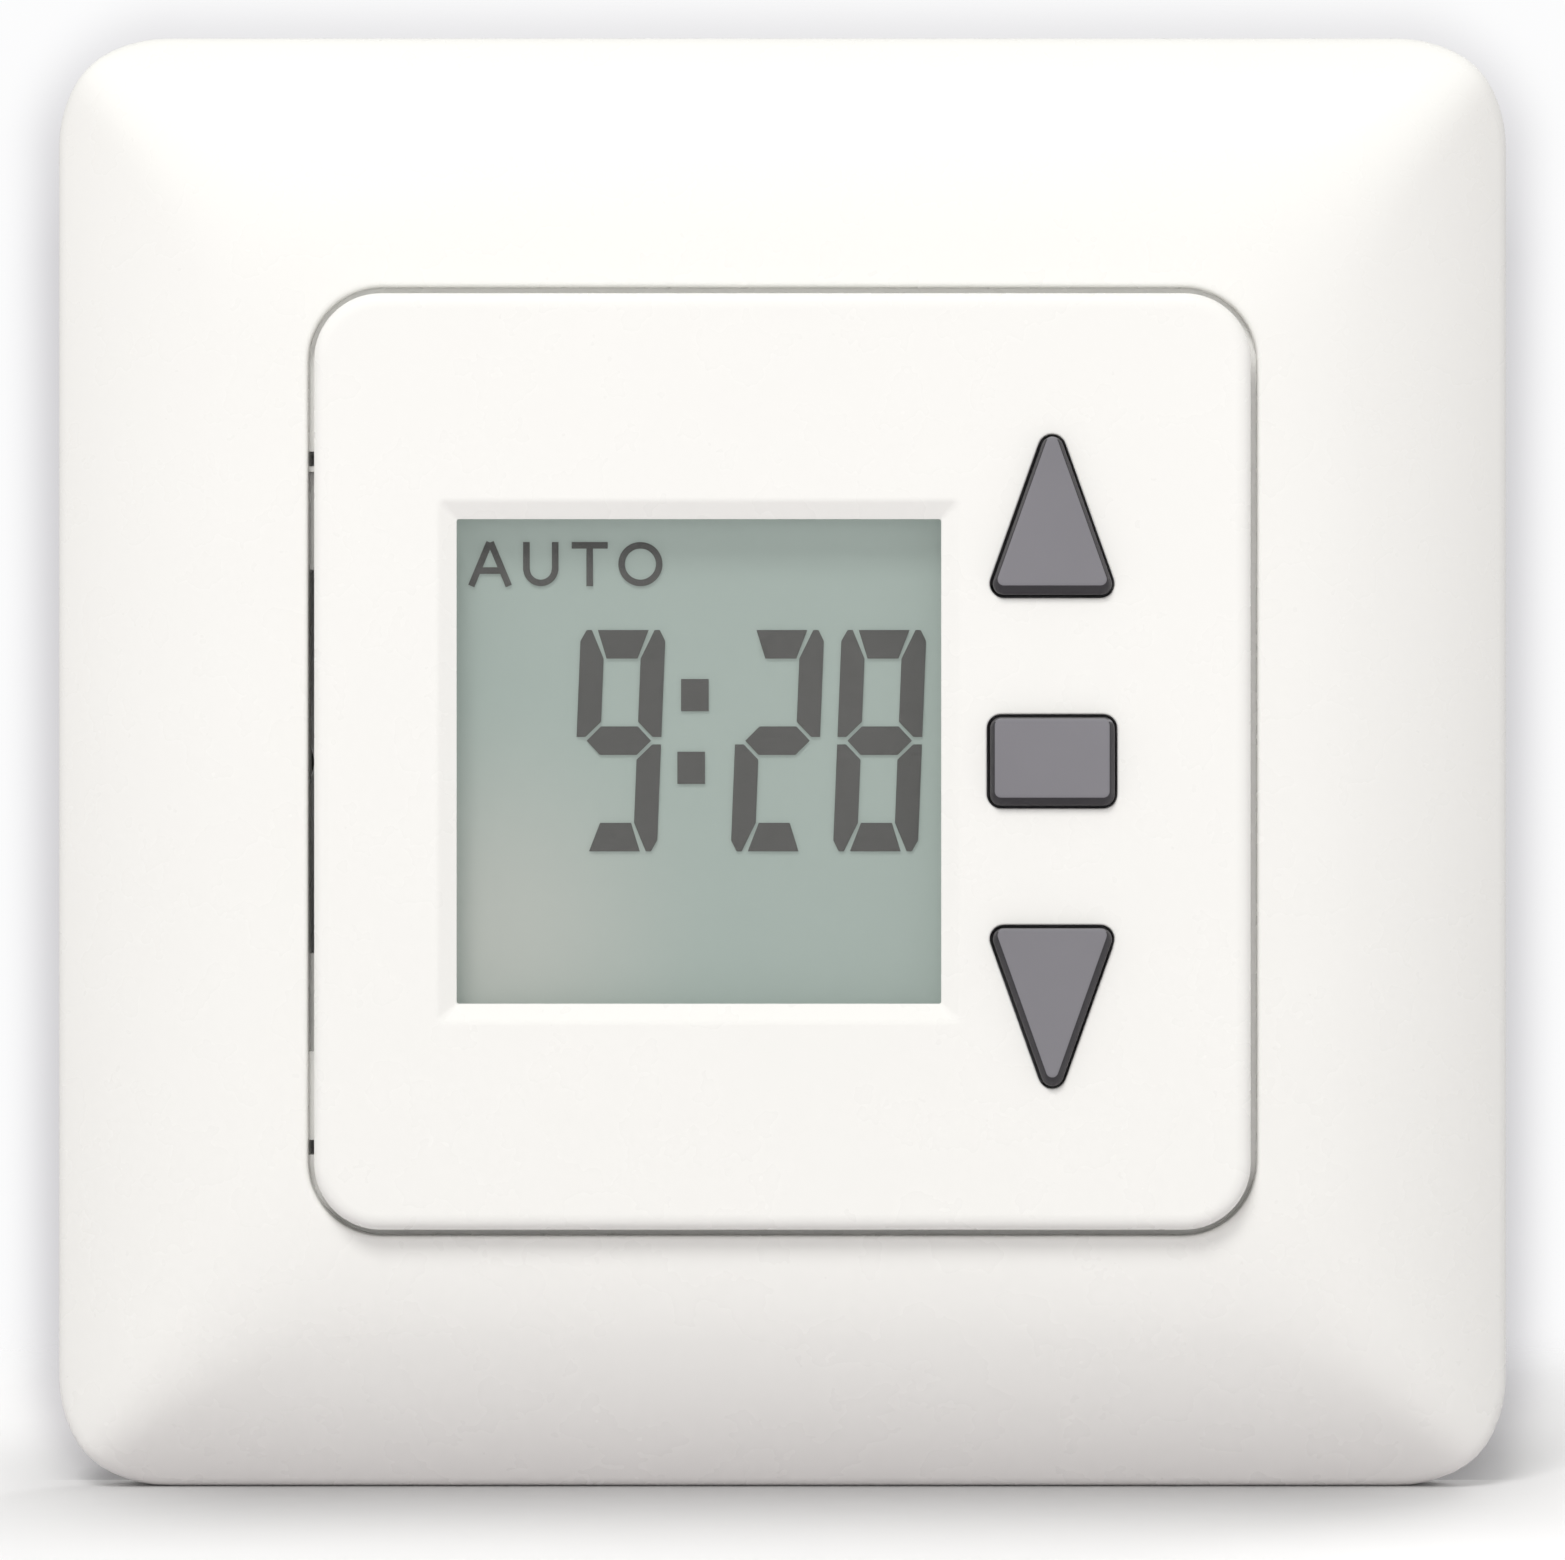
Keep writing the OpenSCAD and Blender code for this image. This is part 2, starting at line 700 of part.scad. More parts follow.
module display_window() {
    color("lightcyan", 0.4) at_window() slab(lens_back, lens_t) square(lens_w, center = true);
}

module lcd_front_polariser() {
    color("lightgray", 0.4) at_window()
        slab(front_glass_z + glass_t, polariser_t) square(lens_w - 0.4, center = true);
}

module lcd_front_glass() {
    color("lightcyan", 0.4) at_window()
        slab(front_glass_z, glass_t) square([glass_w, front_glass_h], center = true);
}

module lcd_rear_glass() {
    color("lightcyan", 0.4) at_window()
        slab(rear_glass_z, glass_t) square([glass_w, rear_glass_h], center = true);
}

module lcd_seal() {
    seal_z = rear_glass_z + glass_t;
    color("khaki") at_window() slab(seal_z, cell_gap) difference() {
        square([glass_w, rear_glass_h], center = true);
        square([window_w + 0.6, window_w + 0.6], center = true);
    }
}

module lcd_reflector() {
    color("darkseagreen") at_window()
        slab(reflector_z, reflector_t) square(lens_w, center = true);
}

// The seven-segment digits lean to the right by this share of their height.
digit_lean = 0.04;
digit_w = 4.6;
digit_h = 12;
digit_mid = 1.13;
upright_t = 1.3;
bar_t = 1.55;
segment_gap = 0.16;
// Segments that each digit lights: top, top left, top right, middle, bottom left,
// bottom right, bottom.
digits = [
    ["9", -8.87, [1, 1, 1, 1, 0, 1, 1]],
    ["2", -0.27, [1, 0, 1, 1, 1, 0, 1]],
    ["8", 5.27, [1, 1, 1, 1, 1, 1, 1]]
];

function lean(points) = [for (p = points) [p[0] + digit_lean * p[1], p[1]]];

// Outlines of the seven segments of a digit, about the digit's own centre. Thin slanted
// gaps part the segments, wider at the digit's corners.
function segment_outlines() =
    let (w = digit_w / 2, h = digit_h / 2, u = upright_t, b = bar_t, g = segment_gap,
         top = [[-w + 0.92, h], [w - 0.92, h], [w - u - g, h - b], [-w + u + g, h - b]],
         left = [[-w + 0.6, h], [-w + 0.32, h], [-w, h - 0.6], [-w, 0.2], [-w + 0.48, 0.2],
                 [-w + u, b / 2 + 0.25], [-w + u, h - b]],
         middle = [[-w + 0.55, 0], [-w + u, b / 2], [w - u, b / 2],
                   [w - 0.55, 0], [w - u, -b / 2], [-w + u, -b / 2]])
    [
        top,
        left,
        [for (p = left) [-p[0], p[1]]],
        middle,
        [for (p = left) [p[0], -p[1]]],
        [for (p = left) [-p[0], -p[1]]],
        [for (p = top) [p[0], -p[1]]]
    ];

// The word for automatic mode, in plain strokes of its own.
word_h = 2.4;
word_y = 9.5;
stroke = 0.36;

module bar(a, b) {
    u = unit_vector(a, b) * stroke / 2;
    n = [-u[1], u[0]];
    polygon([a - u + n, a - u - n, b + u - n, b + u + n]);
}

module mode_word() {
    bowl_r = 0.95;
    translate([-15.85, word_y]) {
        bar([-0.95, stroke / 2], [-0.1, word_h - stroke / 2]);
        bar([0.95, stroke / 2], [0.1, word_h - stroke / 2]);
        bar([-0.6, 0.85], [0.6, 0.85]);
    }
    translate([-13.1, word_y]) {
        for (s = [-1, 1]) bar([s * 0.78, 1], [s * 0.78, word_h - stroke / 2]);
        intersection() {
            translate([0, bowl_r]) difference() {
                circle(bowl_r);
                circle(bowl_r - stroke);
            }
            translate([-1, 0]) square([2, bowl_r]);
        }
    }
    translate([-10.45, word_y]) {
        bar([-0.8, word_h - stroke / 2], [0.8, word_h - stroke / 2]);
        bar([0, stroke / 2], [0, word_h - stroke / 2]);
    }
    translate([-7.7, word_y + word_h / 2]) difference() {
        circle(word_h / 2);
        circle(word_h / 2 - stroke);
    }
}

module lcd_segments() {
    colon = [1.5, 1.75];
    color("dimgray") slab(segment_z, segment_t) {
        for (d = digits, s = [0 : 6]) if (d[2][s] == 1)
            translate([d[1], digit_mid]) polygon(lean(segment_outlines()[s]));
        for (c = [[-4.75, 3.6], [-4.95, -0.34]]) translate(c) square(colon, center = true);
        mode_word();
    }
}

module lcd_holder() {
    outer_w = glass_w + holder_left + holder_right;
    shift = (holder_right - holder_left) / 2;
    color("whitesmoke") at_window() difference() {
        slab(board_front, holder_top - board_front)
            translate([shift, 0]) square([outer_w, holder_h], center = true);
        slab(reflector_z, 5) square([glass_w + 0.1, front_glass_h + 0.1], center = true);
        slab(board_front - 1, 9) square([glass_w - 1.2, rear_glass_h - 0.4], center = true);
        for (s = [-1, 1]) slab(board_front - 1, 9) translate([0, s * strip_y])
            square([glass_w - 1.2, strip_w + 0.1], center = true);
    }
}

module contact_strips() {
    color("slategray") at_window() for (s = [-1, 1])
        slab(board_front, front_glass_z - board_front) translate([0, s * strip_y])
            square([glass_w - 1.4, strip_w], center = true);
}

module display_board() {
    color("darkgreen") slab(board_z, board_t) difference() {
        rounded_square(skirt_inner_w - 0.5, 1.4);
        at_corners(unit_screw_xy) circle(unit_screw_r + 0.2);
        for (i = [0 : pin_count - 1]) translate([pin_x(i), plug_y])
            square(pin_w + 0.2, center = true);
    }
}

module controller_chip() {
    body_w = 10;
    leg_count = 11;
    leg_pitch = 0.8;
    color("black") at_window() {
        translate([0, -4, board_front + 0.75]) cube([body_w, body_w, 1.3], center = true);
        for (turn = [0 : 90 : 270], i = [0 : leg_count - 1])
            translate([0, -4, board_front]) rotate(turn)
                translate([(i - (leg_count - 1) / 2) * leg_pitch - 0.17, body_w / 2 - eps, 0]) {
                    cube([0.34, 0.5, 0.75]);
                    cube([0.34, 1.1, 0.18]);
                }
    }
}

module clock_crystal() {
    color("silver") at_window() {
        translate([-11, 9, board_front + 1.05]) rotate([0, 90, 0]) cylinder(h = 6, r = 1);
        for (s = [-1, 1]) translate([-12.4, 9 + s * 0.4, board_front + 1.05])
            rotate([0, 90, 0]) cylinder(h = 1.5, r = 0.15);
        for (s = [-1, 1]) translate([-12.3, 9 + s * 0.4, board_front])
            cylinder(h = 1.1, r = 0.15);
    }
}

module backup_cell() {
    color("lightgray") at_window() {
        translate([6.5, 10.4, board_front + 0.2]) cylinder(h = 2.1, r = 3.4);
        translate([1.3, 9.4, board_front]) cube([5.2, 2, 0.2 + eps]);
        translate([6.5, 9.4, board_front + 2.3 - eps]) cube([4.6, 2, 0.15]);
        translate([10.9, 9.4, board_front]) cube([0.2, 2, 2.3]);
    }
}

module display_board_chips() {
    chip_list = [
        [-14, 3, 2, 1.25, 0.6], [-14, 0, 2, 1.25, 0.6], [-14, -3, 2, 1.25, 0.6],
        [-14, -6, 2, 1.25, 0.9], [-4, 8, 1.6, 0.8, 0.5], [-4, 10, 1.6, 0.8, 0.5],
        [-8, 11, 1.6, 0.8, 0.5], [5, -9, 2, 1.25, 0.6], [5, -6, 2, 1.25, 0.6],
        [-10, -12, 1.6, 0.8, 0.5], [-6, -12, 1.6, 0.8, 0.5], [20, 6.5, 1.25, 2, 0.6],
        [20, -6.5, 1.25, 2, 0.6]
    ];
    color("dimgray") chips(chip_list, board_front);
}

module temperature_sensor() {
    bead_r = 1.2;
    bead_z = board_front + 3.2;
    color("black") translate([-12, -19.1, 0]) {
        translate([0, 0, bead_z]) sphere(bead_r);
        for (s = [-1, 1]) translate([s * 0.55, 0, board_front])
            cylinder(h = bead_z - board_front, r = 0.22);
    }
}

module key_switches() {
    color("black") for (y = switch_ys) translate([key_x, y, 0]) difference() {
        translate([0, 0, board_front + switch_body_h / 2])
            cube([switch_w, switch_w, switch_body_h], center = true);
        translate([0, 0, dome_z]) cylinder(h = switch_body_h, r = plunger_bore_r);
    }
}

// The snap domes that spring the plungers back, each a thin cap of a sphere.
module switch_domes() {
    rise = 0.35;
    dome_r = (pow(plunger_r, 2) + pow(rise, 2)) / (2 * rise);
    color("silver") for (y = switch_ys) translate([key_x, y, dome_z]) intersection() {
        cylinder(h = 1, r = plunger_r);
        translate([0, 0, rise - dome_r + 0.1]) difference() {
            sphere(dome_r);
            sphere(dome_r - 0.1);
        }
    }
}

module switch_covers() {
    cover_z = board_front + switch_body_h;
    leg_w = 0.7;
    color("silver") for (y = switch_ys) translate([key_x, y, 0]) {
        slab(cover_z, 0.2) difference() {
            square(switch_w, center = true);
            circle(plunger_bore_r);
        }
        for (s = [-1, 1]) translate([s * (switch_w / 2 + 0.1), 0, board_front])
            translate([-0.1, -leg_w / 2, 0]) cube([0.2, leg_w, switch_body_h + 0.2]);
    }
}

module plunger(y) {
    color("ivory") translate([key_x, y, key_flange_z - plunger_l])
        cylinder(h = plunger_l, r = plunger_r);
}

// A key cap: a wide foot behind the face that keeps it in, and the cap in its hole.
module key_cap(kind) {
    color("gray") {
        slab(key_flange_z, key_flange_t) key_outline(kind, key_flange);
        slab(key_flange_z, key_top - 0.3 - key_flange_z) key_outline(kind, -key_gap);
        slab(key_top - 0.3 - eps, 0.3 + eps) key_outline(kind, -key_gap - 0.3);
    }
}

module key_up() { key_cap(1); }
module key_set() { key_cap(0); }
module key_down() { key_cap(-1); }
module plunger_up() { plunger(switch_ys[0]); }
module plunger_set() { plunger(switch_ys[1]); }
module plunger_down() { plunger(switch_ys[2]); }

module header_strip() {
    color("black") difference() {
        translate([plug_x - strip_l / 2, plug_y - 1.25, header_z])
            cube([strip_l, 2.5, board_z - header_z]);
        for (i = [0 : pin_count - 1]) translate([pin_x(i), plug_y, header_z])
            cube([pin_w + 0.02, pin_w + 0.02, 9], center = true);
    }
}

module header_pins() {
    pin_l = board_front + 0.6 - pin_tip_z;
    color("gold") for (i = [0 : pin_count - 1])
        translate([pin_x(i), plug_y, pin_tip_z + pin_l / 2])
            cube([pin_w, pin_w, pin_l], center = true);
}

module unit_back() {
    color("whitesmoke") difference() {
        union() {
            slab(unit_back_z, unit_back_t) rounded_square(skirt_w, skirt_r);
            slab(unit_back_z, board_z - unit_back_z) at_corners(unit_screw_xy)
                circle(unit_boss_r - 0.3);
            for (s = [-1, 1])
                translate([s * tongue_x, 0, (unit_back_z + tongue_tip_z) / 2 + eps])
                    cube([tongue_t, tongue_w, unit_back_z - tongue_tip_z], center = true);
        }
        slab(unit_back_z - 1, unit_back_t + 2) translate([plug_x, plug_y])
            square([strip_l + 0.4, 2.9], center = true);
        at_corners(unit_screw_xy) translate([0, 0, unit_back_z - eps]) {
            cylinder(h = 3, r = unit_screw_r + 0.1);
            cylinder(h = unit_screw_head_t, r1 = unit_screw_head_r + 0.1,
                     r2 = unit_screw_r + 0.1);
        }
    }
}

module unit_screws() {
    color("gainsboro") at_corners(unit_screw_xy) translate([0, 0, unit_back_z])
        mirror([0, 0, 1])
            countersunk_screw(unit_screw_r, unit_screw_l, unit_screw_head_r,
                              unit_screw_head_t);
}

on_wall() cover_frame();
on_wall() mounting_plate();
on_wall() base_cover();
on_wall() base_screws();
on_wall() base_housing();
on_wall() power_board();
on_wall() power_board_chips();
on_wall() rectifier();
on_wall() socket_strip();
on_wall() socket_contacts();
on_wall() relay_case();
on_wall() relay_base();
on_wall() relay_coil();
on_wall() relay_yoke();
on_wall() relay_armature();
on_wall() relay_contact_arm();
on_wall() relay_fixed_contact();
on_wall() mains_capacitor();
on_wall() smoothing_capacitor();
on_wall() surge_varistor();
on_wall() fusible_resistor();
on_wall() terminal_block();
on_wall() terminal_clamps();
on_wall() terminal_screws();
on_wall() front_cover();
on_wall() display_window();
on_wall() lcd_front_polariser();
on_wall() lcd_front_glass();
on_wall() lcd_seal();
on_wall() lcd_segments();
on_wall() lcd_rear_glass();
on_wall() lcd_reflector();
on_wall() lcd_holder();
on_wall() contact_strips();
on_wall() display_board();
on_wall() controller_chip();
on_wall() clock_crystal();
on_wall() backup_cell();
on_wall() display_board_chips();
on_wall() temperature_sensor();
on_wall() key_switches();
on_wall() switch_domes();
on_wall() switch_covers();
on_wall() header_strip();
on_wall() header_pins();
on_wall() unit_back();
on_wall() unit_screws();
on_wall() key_up();
on_wall() key_set();
on_wall() key_down();
on_wall() plunger_up();
on_wall() plunger_set();
on_wall() plunger_down();
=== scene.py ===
import math

import bmesh
import bpy
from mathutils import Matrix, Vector


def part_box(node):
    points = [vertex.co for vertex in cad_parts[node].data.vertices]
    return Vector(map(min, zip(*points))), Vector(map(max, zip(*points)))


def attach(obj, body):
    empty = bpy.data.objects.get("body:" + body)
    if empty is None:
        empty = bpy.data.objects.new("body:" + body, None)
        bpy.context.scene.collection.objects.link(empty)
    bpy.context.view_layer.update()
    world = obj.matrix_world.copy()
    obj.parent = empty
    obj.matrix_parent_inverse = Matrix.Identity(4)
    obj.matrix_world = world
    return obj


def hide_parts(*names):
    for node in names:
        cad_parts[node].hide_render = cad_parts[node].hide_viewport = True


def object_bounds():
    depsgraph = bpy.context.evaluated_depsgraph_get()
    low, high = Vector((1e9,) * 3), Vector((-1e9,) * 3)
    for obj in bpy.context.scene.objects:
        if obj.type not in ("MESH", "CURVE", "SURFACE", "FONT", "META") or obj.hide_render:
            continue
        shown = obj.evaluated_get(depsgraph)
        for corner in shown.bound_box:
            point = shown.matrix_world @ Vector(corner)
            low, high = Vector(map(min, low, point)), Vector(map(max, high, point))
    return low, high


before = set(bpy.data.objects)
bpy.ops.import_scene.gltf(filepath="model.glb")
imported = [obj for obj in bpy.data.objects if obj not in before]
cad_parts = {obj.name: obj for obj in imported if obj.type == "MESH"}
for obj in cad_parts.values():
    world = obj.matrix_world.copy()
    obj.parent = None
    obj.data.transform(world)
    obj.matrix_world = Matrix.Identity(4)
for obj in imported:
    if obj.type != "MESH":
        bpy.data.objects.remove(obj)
cad_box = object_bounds()
scene = bpy.context.scene

# ------------------------------------------------------------------ places and sizes
# Shapes are worked out in millimetres in the wall's own axes: x to the right, y up and
# z out of the wall. place() turns them into the frame's metres, where the face looks
# along -Y and +Z is up.

MM = 0.001


def place(x, y, z):
    return Vector((x, -z, y)) * MM


class Box:
    """A node's box in millimetres, in the wall's axes."""

    def __init__(self, node):
        low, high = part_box(node)
        self.lo = Vector((low.x, low.z, -high.y)) / MM
        self.hi = Vector((high.x, high.z, -low.y)) / MM
        self.mid = (self.lo + self.hi) / 2
        self.size = self.hi - self.lo


FRAME = Box("cover_frame")
COVER = Box("front_cover")
LENS = Box("display_window")
BACK = Box("unit_back")
BOARD = Box("display_board")
HOUSING = Box("base_housing")

FRAME_HALF = FRAME.hi.x
FRAME_CORNER = 6.0
FRAME_EDGE = 2.8  # height of the straight outer edge
BULGE_R = 23.5
BULGE_SLOPE = math.radians(46.6)
FRAME_WALL = 1.8
COVER_HALF = COVER.hi.x
COVER_CORNER = 3.6
REVEAL = 0.40
OPENING_HALF = COVER_HALF + REVEAL
OPENING_CORNER = COVER_CORNER + REVEAL
FACE = COVER.hi.z
RIM_BACK = FACE - 2.2
LEDGE = RIM_BACK - 0.1
LEDGE_T = 1.8
LEDGE_HALF = 23.0
LEDGE_CORNER = 3.4
RING_HALF = OPENING_HALF + 2.5  # outside of the solid ring round the opening
SKIRT_HALF = BACK.hi.x
SKIRT_CORNER = 3.0
SKIRT_WALL = 1.4
SKIRT_END = BOARD.lo.z - 0.2
FACE_BACK = FACE - 1.6
LENS_LAP = 0.75  # how far the lens reaches behind the bezel
WINDOW_HALF = LENS.size.x / 2 - LENS_LAP
WINDOW_X = LENS.mid.x


# ---------------------------------------------------------------------- mesh tools


def rounded_outline(centres, radius, arc_steps=8, side_steps=1):
    """Points round a convex polygon whose corners are arcs about the given centres."""
    points = []
    count = len(centres)
    for i, centre in enumerate(centres):
        before = (centre - centres[i - 1]).normalized()
        after = (centres[(i + 1) % count] - centre).normalized()
        start = math.atan2(-before.x, before.y)
        turn = before.angle_signed(after) * -1
        for k in range(arc_steps + 1):
            angle = start + turn * k / arc_steps
            points.append(centre + radius * Vector((math.cos(angle), math.sin(angle))))
        end = points[-1]
        follow = centres[(i + 1) % count] + (end - centre)
        points += [end.lerp(follow, k / side_steps) for k in range(1, side_steps)]
    return points


def square_outline(half, radius, arc_steps=8, side_steps=1, high=None):
    """A rounded square, or a rounded rectangle when high gives its half height."""
    a = half - radius
    b = (high or half) - radius
    corners = [Vector(c) for c in ((a, b), (-a, b), (-a, -b), (a, -b))]
    return rounded_outline(corners, radius, arc_steps, side_steps)


def loft(loops, closed=False):
    """A closed mesh through loops of points with the same count, capped at both ends."""
    mesh = bmesh.new()
    rings = [[mesh.verts.new(place(*p)) for p in loop] for loop in loops]
    pairs = list(zip(rings, rings[1:]))
    if closed:
        pairs.append((rings[-1], rings[0]))
    count = len(rings[0])
    for low, high in pairs:
        for i in range(count):
            j = (i + 1) % count
            mesh.faces.new((low[i], low[j], high[j], high[i]))
    if not closed:
        mesh.faces.new(rings[0])
        mesh.faces.new(rings[-1])
    bmesh.ops.recalc_face_normals(mesh, faces=mesh.faces)
    return mesh


def at_height(outline, z):
    return [(p.x, p.y, z) for p in outline]


def fillet(start, corner, end, steps=6):
    """Points of a soft curve from start to end that leaves and arrives along the corner."""
    a, b, c = (Vector(p) for p in (start, corner, end))
    return [a.lerp(b, k / steps).lerp(b.lerp(c, k / steps), k / steps) for k in range(steps + 1)]


def piece(name, mesh, material, smooth_angle=30.0):
    """A new object from a bmesh, smooth except across edges sharper than smooth_angle."""
    data = bpy.data.meshes.new(name)
    mesh.to_mesh(data)
    mesh.free()
    data.polygons.foreach_set("use_smooth", [True] * len(data.polygons))
    data.set_sharp_from_angle(angle=math.radians(smooth_angle))
    data.materials.append(material)
    obj = bpy.data.objects.new(name, data)
    scene.collection.objects.link(obj)
    return obj


def carve(obj, tools, operation, smooth_angle=30.0):
    """Joins or cuts the tools into the object, applies the result and drops the tools."""
    for tool_mesh in tools:
        tool = piece("tool", tool_mesh, obj.data.materials[0])
        modifier = obj.modifiers.new("carve", "BOOLEAN")
        modifier.object = tool
        modifier.operation = operation
        modifier.solver = "MANIFOLD"
        graph = bpy.context.evaluated_depsgraph_get()
        result = bpy.data.meshes.new_from_object(obj.evaluated_get(graph))
        obj.modifiers.clear()
        old = obj.data
        obj.data = result
        bpy.data.meshes.remove(old)
        bpy.data.objects.remove(tool)
    obj.data.set_sharp_from_angle(angle=math.radians(smooth_angle))


def even_normals(obj):
    """Keeps large flat faces flat in the shading next to their soft edges."""
    obj.modifiers.new("even normals", "WEIGHTED_NORMAL").keep_sharp = True


def prism(outline, low, high):
    """A straight solid with the given outline."""
    return loft([at_height(outline, low), at_height(outline, high)])


def block(x0, x1, y0, y1, z0, z1):
    """A box with square edges."""
    outline = [Vector(p) for p in ((x0, y0), (x1, y0), (x1, y1), (x0, y1))]
    return prism(outline, z0, z1)


# ----------------------------------------------------------------------- materials


class Nodes:
    """Small help for building a material's nodes."""

    def __init__(self, name):
        self.material = bpy.data.materials.new(name)
        self.material.use_nodes = True
        self.tree = self.material.node_tree
        self.shader = self.tree.nodes["Principled BSDF"]
        self.coords = self.add("ShaderNodeTexCoord").outputs["Object"]

    def add(self, kind, **inputs):
        node = self.tree.nodes.new(kind)
        for key, value in inputs.items():
            node.inputs[key].default_value = value
        return node

    def link(self, output, socket):
        self.tree.links.new(output, socket)

    def noise(self, size_mm, detail=3.0, stretch=(1, 1, 1)):
        """Noise whose features are about size_mm across, 0 to 1."""
        mapping = self.add("ShaderNodeMapping", Scale=stretch)
        self.link(self.coords, mapping.inputs["Vector"])
        node = self.add("ShaderNodeTexNoise", Scale=1 / (size_mm * MM), Detail=detail)
        self.link(mapping.outputs["Vector"], node.inputs["Vector"])
        return node.outputs["Fac"]

    def ramp(self, factor, low, high, start=0.3, stop=0.7):
        """A colour that runs from low to high as factor runs from start to stop."""
        node = self.add("ShaderNodeValToRGB")
        node.color_ramp.elements[0].position = start
        node.color_ramp.elements[1].position = stop
        node.color_ramp.elements[0].color = (*low, 1)
        node.color_ramp.elements[1].color = (*high, 1)
        self.link(factor, node.inputs["Fac"])
        return node.outputs["Color"]

    def spread(self, factor, low, high):
        """A number that runs from low to high as factor runs from 0.3 to 0.7."""
        node = self.tree.nodes.new("ShaderNodeMapRange")
        node.inputs["From Min"].default_value = 0.3
        node.inputs["From Max"].default_value = 0.7
        node.inputs["To Min"].default_value = low
        node.inputs["To Max"].default_value = high
        self.link(factor, node.inputs["Value"])
        return node.outputs["Result"]

    def math(self, operation, a, b):
        """The result of one sum; a and b are numbers or outputs of other nodes."""
        node = self.tree.nodes.new("ShaderNodeMath")
        node.operation = operation
        for value, socket in zip((a, b), node.inputs):
            if isinstance(value, float):
                socket.default_value = value
            else:
                self.link(value, socket)
        return node.outputs["Value"]

    def ease(self, value, start, stop, low, high):
        """A soft step from low to high as value runs from start to stop."""
        node = self.tree.nodes.new("ShaderNodeMapRange")
        node.interpolation_type = "SMOOTHSTEP"
        for key, number in zip(("From Min", "From Max", "To Min", "To Max"),
                               (start, stop, low, high)):
            node.inputs[key].default_value = number
        self.link(value, node.inputs["Value"])
        return node.outputs["Result"]

    def mix(self, factor, a, b):
        """Colour a where factor is 0 and b where it is 1; a or b may be a plain colour."""
        node = self.tree.nodes.new("ShaderNodeMix")
        node.data_type = "RGBA"
        self.link(factor, node.inputs["Factor"])
        for value, socket in ((a, node.inputs["A"]), (b, node.inputs["B"])):
            if isinstance(value, tuple):
                socket.default_value = value
            else:
                self.link(value, socket)
        return node.outputs["Result"]

    def scaled(self, colour, factor):
        """A colour times a number."""
        node = self.add("ShaderNodeVectorMath")
        node.operation = "SCALE"
        self.link(colour, node.inputs[0])
        self.link(factor, node.inputs["Scale"])
        return node.outputs["Vector"]

    def front_only(self):
        """1 for the camera's own rays on the front side, 0 for all other light."""
        path = self.add("ShaderNodeLightPath")
        side = self.add("ShaderNodeNewGeometry")
        front = self.math("SUBTRACT", 1.0, side.outputs["Backfacing"])
        return self.math("MULTIPLY", front, path.outputs["Is Camera Ray"])

    def near(self, point_mm, full, none):
        """1 within full millimetres of a point in the frame's axes, 0 beyond none."""
        away = self.add("ShaderNodeVectorMath")
        away.operation = "DISTANCE"
        away.inputs[1].default_value = [c * MM for c in point_mm]
        self.link(self.coords, away.inputs[0])
        return self.ease(away.outputs["Value"], full * MM, none * MM, 1.0, 0.0)

    def bump(self, height, depth_mm, strength=1.0, after=None):
        node = self.add("ShaderNodeBump", Distance=depth_mm * MM, Strength=strength)
        self.link(height, node.inputs["Height"])
        if after:
            self.link(after, node.inputs["Normal"])
        return node.outputs["Normal"]

    def set(self, **values):
        for key, value in values.items():
            self.shader.inputs[key.replace("_", " ")].default_value = value

    def drive(self, key, output):
        self.link(output, self.shader.inputs[key])


def tint(colour, factor):
    return tuple(min(1.0, c * factor) for c in colour)


def textured(name, roughness, grain_mm=0.25, grain_depth=0.004):
    """A surface with uneven gloss and a fine grain, with its colour still to be set."""
    n = Nodes(name)
    n.drive("Roughness", n.spread(n.noise(3.0), roughness * 0.88, roughness * 1.12))
    slow = n.bump(n.noise(2.5, detail=1.0), grain_depth * 1.5, 0.4)
    n.drive("Normal", n.bump(n.noise(grain_mm, detail=2.0), grain_depth, 0.5, after=slow))
    return n


def moulded(name, colour, roughness, grain_mm=0.25, grain_depth=0.004, variation=0.03):
    """Moulded plastic: a textured surface with a slow colour drift."""
    n = textured(name, roughness, grain_mm, grain_depth)
    drift = n.noise(14.0, detail=4.0)
    n.drive("Base Color", n.ramp(drift, tint(colour, 1 - variation), tint(colour, 1 + variation)))
    return n


def metal(name, colour, roughness, brush=(1, 1, 1), grain_mm=0.3, depth=0.003):
    """Plated or drawn metal, with streaks along the axis that brush stretches least."""
    n = Nodes(name)
    streaks = n.noise(grain_mm, detail=4.0, stretch=brush)
    blotches = n.noise(6.0, detail=3.0)
    n.drive("Base Color", n.ramp(blotches, tint(colour, 0.88), colour))
    n.drive("Roughness", n.spread(streaks, roughness * 0.7, roughness * 1.3))
    n.drive("Normal", n.bump(streaks, depth, 0.5))
    n.set(Metallic=1.0)
    return n


# ------------------------------------------------------------------ camera and light

CAMERA_DISTANCE = 0.329
CAMERA_DROP = 0.0010
FIELD_WIDTH = 0.0864  # width seen in the plane of the frame's straight edge


